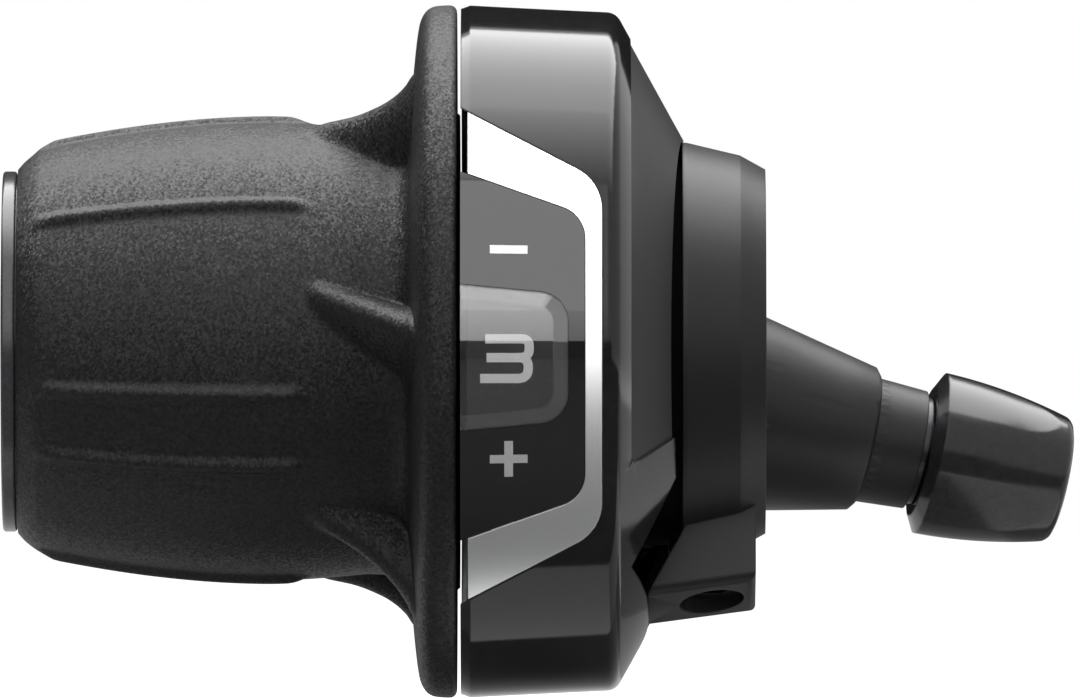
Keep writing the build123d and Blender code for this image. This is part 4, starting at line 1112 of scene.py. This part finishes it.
@dataclass
class WindowHousing:
    """Gloss shell with its chrome trim, dark panel, screws and port plug.

    Lengths are in millimetres.
    """

    panel_radius: float = 27.28
    panel_draft: float = 0.0492
    minus_z: float = 7.95
    plus_z: float = -8.36
    sign_x: float = 3.78
    sign_half: float = 1.47
    sign_width: float = 0.68
    cone: tuple[Point2, Point2] = ((12.2, 26.68), (17.75, 16.6))
    plate_x: float = 13.2
    plate_depth: Point2 = (0.25, 0.75)
    plate_agreement: float = 0.9

    def build(self) -> None:
        """Dress the housing's pieces and print the signs."""
        shell = Pieces.polished("housing_shell", GLOSS, Slot.GLOSS_BLACK, angle=15.0, turned=0.12)
        self._plate(shell)
        Pieces.polished("window_trim", CHROME, Slot.TRIM_CHROME, turned=0.12, crown=6.5)
        Pieces.polished("window_panel", PANEL, Slot.PANEL_BLACK, turned=0.12)
        Pieces.polished("shell_screws", STEEL, Slot.STEEL)
        Pieces.polished("cable_port_plug", PLUG, Slot.PLUG_RUBBER)
        self._signs()

    def _plate(self, shell: bpy.types.Object) -> None:
        """Give the shallow plate on the cone its matt finish.

        Args:
            shell: The finished shell.
        """
        shell.data.materials.append(material_for(PLATE))
        (start_x, start_r), (end_x, end_r) = self.cone
        fall = (end_r - start_r) / (end_x - start_x)
        steep = math.hypot(1.0, fall)
        shallow, deep = self.plate_depth
        for face in shell.data.polygons:
            x, radius = face.center.x / MM, math.hypot(face.center.y, face.center.z) / MM
            below = start_r + fall * (x - start_x) - radius
            out = Vector((0.0, face.center.y, face.center.z)).normalized()
            along_cone = face.normal.dot((out - fall * Vector((1.0, 0.0, 0.0))) / steep)
            if self.plate_x < x < end_x and shallow < below < deep and along_cone > self.plate_agreement:
                face.material_index = 1

    def _signs(self) -> None:
        """Print the two signs on the panel."""
        half = self.sign_width / 2
        left, right = self.sign_x - self.sign_half, self.sign_x + self.sign_half
        signs = {
            "minus_sign": (INK, self.minus_z, [[(left, 0.0), (right, 0.0)]]),
            # The plus sign's ink carries painted shade.
            "plus_sign": (SHADED_SIGN_INK, self.plus_z, [[(left, 0.0), (right, 0.0)],
                                                 [(self.sign_x, half), (self.sign_x, self.sign_half)],
                                                 [(self.sign_x, -self.sign_half), (self.sign_x, -half)]]),
        }
        for name, (ink, height, strokes) in signs.items():
            angle = math.degrees(math.asin(height / (self.panel_radius - self.panel_draft * self.sign_x)))
            print_on = Lettering(self.sign_width, lift=0.0, ink=ink)
            sign = print_on.lay(name, strokes, self.panel_radius, self.panel_draft, angle)
            Pieces.settle(sign, Body.HOUSING, Slot.PANEL_BLACK)


@dataclass
class ClampBracket:
    """Satin bracket with its collar, clamp screw, bush and shoe.

    Lengths are in millimetres.
    """

    spigot_end_x: float = 17.5
    spigot_radius: float = 15.6

    def build(self) -> None:
        """Dress the bracket and the clamp's pieces."""
        # The spigot under the cone is given painted shade.
        self._shade_spigot(Pieces.polished("bracket", SATIN, Slot.SATIN_BLACK, turned=0.05, banded=True))
        Pieces.polished("clamp_screw", OXIDE, Slot.STEEL)
        for node in ("clamp_bush", "clamp_shoe"):
            Pieces.polished(node, STEEL, Slot.STEEL)

    def _shade_spigot(self, bracket: bpy.types.Object) -> None:
        """Paint the spigot inside the shell dark and without gloss: painted shade in the groove under the
        cone.

        Args:
            bracket: The finished bracket.
        """
        bracket.data.materials.append(material_for(SHADED_SPIGOT))
        for face in bracket.data.polygons:
            radius = math.hypot(face.center.y, face.center.z) / MM
            if face.center.x / MM < self.spigot_end_x and radius < self.spigot_radius:
                face.material_index = 1


@dataclass
class GripCore:
    """Sleeve inside the grip with its end ring, and the snap ring."""

    def build(self) -> None:
        """Dress the sleeve and the snap ring."""
        Pieces.polished("grip_sleeve", SLEEVE, Slot.SLEEVE_BLACK, turned=0.12)
        Pieces.dressed("snap_ring", STEEL)


@dataclass
class WinderMechanism:
    """Drum, detent spring, washer and cable guide inside the housing."""

    def build(self) -> None:
        """Dress the sealed pieces."""
        for node, finish in (("winder_drum", ACETAL), ("thrust_washer", ACETAL), ("cable_guide", ACETAL),
                             ("detent_spring", STEEL)):
            Pieces.dressed(node, finish)


@dataclass
class BarrelAdjuster:
    """Threaded insert, adjuster bolt and its knob.

    Lengths are in millimetres, measured along the adjuster from the collar's end; angles in degrees upwards.
    """

    origin: Point3 = (23.95, 20.6088, -5.25164)
    direction: Point3 = (0.969211, 0.13569, -0.205473)
    hole_radius: float = 3.65
    foot: Point2 = (13.02, 5.2)
    shoulder: Point2 = (13.72, 6.495)
    waist: Point2 = (19.07, 6.045)
    tip: Point2 = (24.42, 4.9)
    tip_rounding: float = 0.7
    facet_angle: float = 56.0
    facet_count: int = 4
    facet_depth: float = 0.19
    facet_radius: float = 10.0
    facet_fade: Point2 = (19.5, 22.9)
    facet_floor: float = 4.5
    sharp_angle: float = 28.0
    around: int = 360
    along: int = 72

    def build(self) -> None:
        """Make the knob and dress the adjuster's other pieces."""
        Pieces.polished("adjuster_insert", INSERT, Slot.INSERT_METAL)
        Pieces.polished("adjuster_bolt", BOLT, Slot.BOLT_METAL)
        piece = Pieces.add(self._knob(), "adjuster_knob_skin", KNOB_GLOSS)
        Pieces.smooth(piece.data, self.sharp_angle)
        Pieces.settle(piece, Body.KNOB, Slot.GLOSS_BLACK, ["adjuster_knob"])

    def _section(self) -> np.ndarray:
        """Draw the closed half section of the knob before its facets are taken off.

        Returns:
            Rows of place along the adjuster and radius.
        """
        places = np.linspace(self.shoulder[0], self.tip[0], self.along)
        knots = np.array([self.shoulder, self.waist, self.tip])
        radii = np.polyval(np.polyfit(knots[:, 0], knots[:, 1], 2), places)
        back = np.clip(places - (self.tip[0] - self.tip_rounding), 0.0, None)
        radii -= self.tip_rounding - np.sqrt(np.clip(self.tip_rounding**2 - back**2, 0.0, None))
        side = np.stack([places, radii], axis=1)
        ends = [(self.tip[0], self.hole_radius), (self.foot[0], self.hole_radius), self.foot]
        return np.vstack([side, ends])

    def _knob(self) -> bpy.types.Mesh:
        """Turn the section around the adjuster and take its crowned facets off.

        Returns:
            The closed knob mesh in its place.
        """
        section = self._section()
        turn = np.arange(self.around) * 2 * np.pi / self.around
        pitch = 2 * np.pi / self.facet_count
        aside = (turn - math.radians(self.facet_angle) + pitch / 2) % pitch - pitch / 2
        start, end = self.facet_fade
        left = 1.0 - np.clip((section[:, 0] - start) / (end - start), 0.0, 1.0) ** 2
        middle = (section[:, 1] - self.facet_depth * left - self.facet_radius)[:, None]
        facet = middle * np.cos(aside) + np.sqrt(self.facet_radius**2 - (middle * np.sin(aside)) ** 2)
        cut = ((section[:, 1] > self.facet_floor) & (left > 0.0))[:, None]
        radius = np.where(cut, np.minimum(section[:, 1][:, None], facet), section[:, 1][:, None])
        axis = np.array(self.direction) / np.linalg.norm(self.direction)
        rider = np.array([0.0, -1.0, 0.0]) + axis * axis[1]
        rider /= np.linalg.norm(rider)
        up = np.cross(rider, axis)
        points = (np.array(self.origin) + section[:, 0][:, None, None] * axis
                  + (radius * np.cos(turn))[..., None] * rider + (radius * np.sin(turn))[..., None] * up)
        return Pieces.turned_mesh("adjuster_knob_skin", points)


@dataclass
class Studio:
    """Floor, cards, soft boxes, world and camera.

    Lengths are in metres.
    """

    floor_z: float = -0.04
    floor_half: float = 4.0
    white_from: float = 0.15
    white_to: float = 0.7
    view_width: float = 0.08504
    aim: Point3 = (0.00622, 0.0, 0.0002)
    lens: float = 1000.0
    sensor: float = 36.0
    ambient: float = 0.16
    card_z: float = -0.036
    clip_end: float = 50.0

    def build(self) -> None:
        """Set up the whole studio."""
        self._floor()
        self._cards()
        self._graded_box("low_soft_box", (-0.9, 0.055), (-0.821, 0.1966), (-0.3, 0.25), (1.3, 1.8))
        self._box("front_soft_box", (-0.821, 0.1966), (-0.49, 0.79), (-0.3, 0.25), 1.15)
        self._graded_box("graded_soft_box", (-0.49, 0.79), (-0.03, 0.93), (-0.4, 0.6), (1.15, 6.2))
        self._box("top_soft_box", (-0.03, 0.93), (0.75, 0.74), (-0.75, 0.6), 6.2)
        under = self._graded_box("under_card", (-0.025, -0.0355), (-0.0095, -0.0355), (-0.001, 0.016),
                                 (1.2, 1.2))
        under.visible_diffuse = False
        under.visible_shadow = False
        fill = self._box("fill_soft_box", (-1.25, 0.55), (-0.85, 1.05), (-0.3, 0.3), 1.7)
        fill.visible_glossy = False
        self._world()
        self._camera()
        bpy.context.scene.view_settings.view_transform = "Standard"

    def _cards(self) -> None:
        """Lay the cards out: flat ones under the shifter, upright ones round it."""
        z = self.card_z
        for name, low, high, tone in (
            ("grey_card_front", (-0.6, -0.9, z), (0.6, -0.025, z), 0.075),
            ("grey_card_low", (-0.6, -0.9, z), (0.6, -0.9, 0.055), 0.075),
            ("dark_card_rear", (-0.5, -0.0095, z), (0.028, 0.6, z), 0.3),
            ("dark_card_boss", (0.028, -0.0095, z), (0.045, 0.6, z), 0.15),
            ("pale_card_cone", (0.045, -0.0265, z), (0.085, 0.028, z), 0.66),
            ("dark_card_corner", (0.045, 0.028, z), (0.085, 0.6, z), 0.08),
            ("pale_card_corner", (0.085, -0.0265, z), (0.4, 0.6, z), 0.35),
            ("dark_card_back", (-0.5, 0.6, z), (0.3, 0.6, 0.55), 0.012),
            ("dark_card_left", (-0.8, -0.6, z), (-0.8, 0.6, 0.6), 0.03),
        ):
            self._card(name, low, high, tone)

    @staticmethod
    def _background_rays(write: NodeWriter) -> bpy.types.NodeSocket:
        """Mark the rays that see the background: camera, glossy and transmission rays.

        Args:
            write: Writer of the tree.

        Returns:
            A mask that is 1 for those rays.
        """
        path = write.node("ShaderNodeLightPath").outputs
        seen = write.math("MAXIMUM", path["Is Camera Ray"], path["Is Glossy Ray"])
        return write.math("MAXIMUM", seen, path["Is Transmission Ray"])

    def _sheet(self, name: str, corners: Sequence[Point3]) -> bpy.types.Object:
        """Put up a flat four-cornered stage piece.

        Args:
            name: Name of the sheet.
            corners: Its corners in order.

        Returns:
            The sheet.
        """
        mesh = bpy.data.meshes.new(name)
        mesh.from_pydata([list(c) for c in corners], [], [(0, 1, 2, 3)])
        sheet = Pieces.add(mesh, name)
        return sheet

    def _floor(self) -> None:
        """Pale floor that stays white behind the object and keeps its shadow."""
        half = self.floor_half
        floor = self._sheet("pale_floor", [(-half, -half, self.floor_z), (half, -half, self.floor_z),
                                           (half, half, self.floor_z), (-half, half, self.floor_z)])
        material, write, shader = start_material("Pale floor")
        place = write.node("ShaderNodeTexCoord").outputs["Object"]
        reach = write.node("ShaderNodeVectorMath", {0: place}, operation="LENGTH").outputs["Value"]
        far = write.fade(reach, self.white_from, self.white_to)
        write.fill(shader, {
            "Base Color": (0.5, 0.5, 0.5, 1.0), "Roughness": 0.9, "Specular IOR Level": 0.0,
            "Emission Color": (1.0, 1.0, 1.0, 1.0),
            "Emission Strength": write.math("MULTIPLY", far, self._background_rays(write)),
        })
        floor.data.materials.append(material)

    def _card(self, name: str, low: Point3, high: Point3, tone: float) -> None:
        """Put up a card that only reflections see, as photographers use beside gloss.

        Args:
            name: Name of the card.
            low: One corner.
            high: The opposite corner.
            tone: Share of the light that it throws back.
        """
        if abs(low[0] - high[0]) < 1e-6:
            second, fourth = (low[0], high[1], low[2]), (low[0], low[1], high[2])
        else:
            second, fourth = (high[0], low[1], low[2]), (low[0], high[1], high[2])
        card = self._sheet(name, [low, second, high, fourth])
        card.visible_camera = False
        card.visible_diffuse = False
        card.visible_shadow = False
        material, write, shader = start_material(name)
        write.fill(shader, {
            "Base Color": (tone, tone, tone, 1.0), "Roughness": 1.0, "Specular IOR Level": 0.0,
        })
        card.data.materials.append(material)

    def _box(self, name: str, near: Point2, far: Point2, sides: Point2, radiance: float) -> bpy.types.Object:
        """Put up a rectangular soft box across the bar.

        Args:
            name: Name of the lamp.
            near: Place along Y and height of the edge nearer to the camera.
            far: Place along Y and height of the other edge.
            sides: Left and right edge along the bar.
            radiance: Brightness of its face, where 1 shows as white.

        Returns:
            The lamp.
        """
        width = sides[1] - sides[0]
        middle = Vector((sum(sides) / 2, (near[0] + far[0]) / 2, (near[1] + far[1]) / 2))
        along = Vector((0.0, far[0] - near[0], far[1] - near[1]))
        lamp = bpy.data.lights.new(name, "AREA")
        lamp.shape = "RECTANGLE"
        lamp.size = width
        lamp.size_y = along.length
        lamp.energy = radiance * math.pi * width * along.length
        box = bpy.data.objects.new(name, lamp)
        across = Vector((1.0, 0.0, 0.0))
        up = along.normalized()
        away = across.cross(up)
        if away.dot(middle) < 0.0:
            across, away = -across, -away
        box.matrix_world = Matrix.Translation(middle) @ Matrix((across, up, away)).transposed().to_4x4()
        box.visible_camera = False
        bpy.context.scene.collection.objects.link(box)
        return box

    def _graded_box(self, name: str, near: Point2, far: Point2, sides: Point2,
                    radiance: Point2) -> bpy.types.Object:
        """Put up a soft sheet whose brightness runs from one edge to the other.

        Args:
            name: Name of the sheet.
            near: Place along Y and height of the edge nearer to the camera.
            far: Place along Y and height of the other edge.
            sides: Left and right edge along the bar.
            radiance: Brightness at the near and the far edge.

        Returns:
            The sheet.
        """
        sheet = self._sheet(name, [(sides[0], *near), (sides[0], *far), (sides[1], *far), (sides[1], *near)])
        sheet.visible_camera = False
        material, write, _ = start_material(name)
        write.tree.nodes.clear()
        place = write.node("ShaderNodeTexCoord").outputs["Object"]
        parts = write.node("ShaderNodeSeparateXYZ", {0: place})
        grade = write.node("ShaderNodeMapRange", {
            "Value": parts.outputs["Y"], "From Min": near[0], "From Max": far[0], "To Min": radiance[0],
            "To Max": radiance[1],
        })
        glow = write.node("ShaderNodeEmission", {"Strength": grade.outputs[0]})
        write.node("ShaderNodeOutputMaterial", {"Surface": glow.outputs[0]})
        sheet.data.materials.append(material)
        return sheet

    def _world(self) -> None:
        """White background with a weak even light."""
        world = bpy.data.worlds.new("Studio white")
        world.use_nodes = True
        write = NodeWriter(world.node_tree)
        level = write.node("ShaderNodeMapRange", {
            "Value": self._background_rays(write), "To Min": self.ambient, "To Max": 1.0,
        })
        write.fill(world.node_tree.nodes["Background"],
                   {"Color": (1.0, 1.0, 1.0, 1.0), "Strength": level.outputs[0]})
        bpy.context.scene.world = world

    def _camera(self) -> None:
        """Long lens square to the bar, framed as the photograph."""
        lens = bpy.data.cameras.new("square_view")
        lens.lens = self.lens
        lens.sensor_width = self.sensor
        lens.clip_end = self.clip_end
        camera = bpy.data.objects.new("square_view", lens)
        distance = self.view_width * self.lens / self.sensor
        camera.location = (self.aim[0], self.aim[1] - distance, self.aim[2])
        camera.rotation_euler = (math.radians(90.0), 0.0, 0.0)
        bpy.context.scene.collection.objects.link(camera)
        bpy.context.scene.camera = camera


def main() -> None:
    """Build the shifter and the studio, and report each piece."""
    logging.basicConfig(level=logging.INFO, format="%(name)s: %(message)s")
    for part in (RubberGrip(), GripCore(), WindowHousing(), NumberWindow(), NumberRing(), ClampBracket(),
                 WinderMechanism(), BarrelAdjuster(), Studio()):
        part.build()
        LOG.info("%s done", type(part).__name__)


if __name__ == "__main__":
    main()
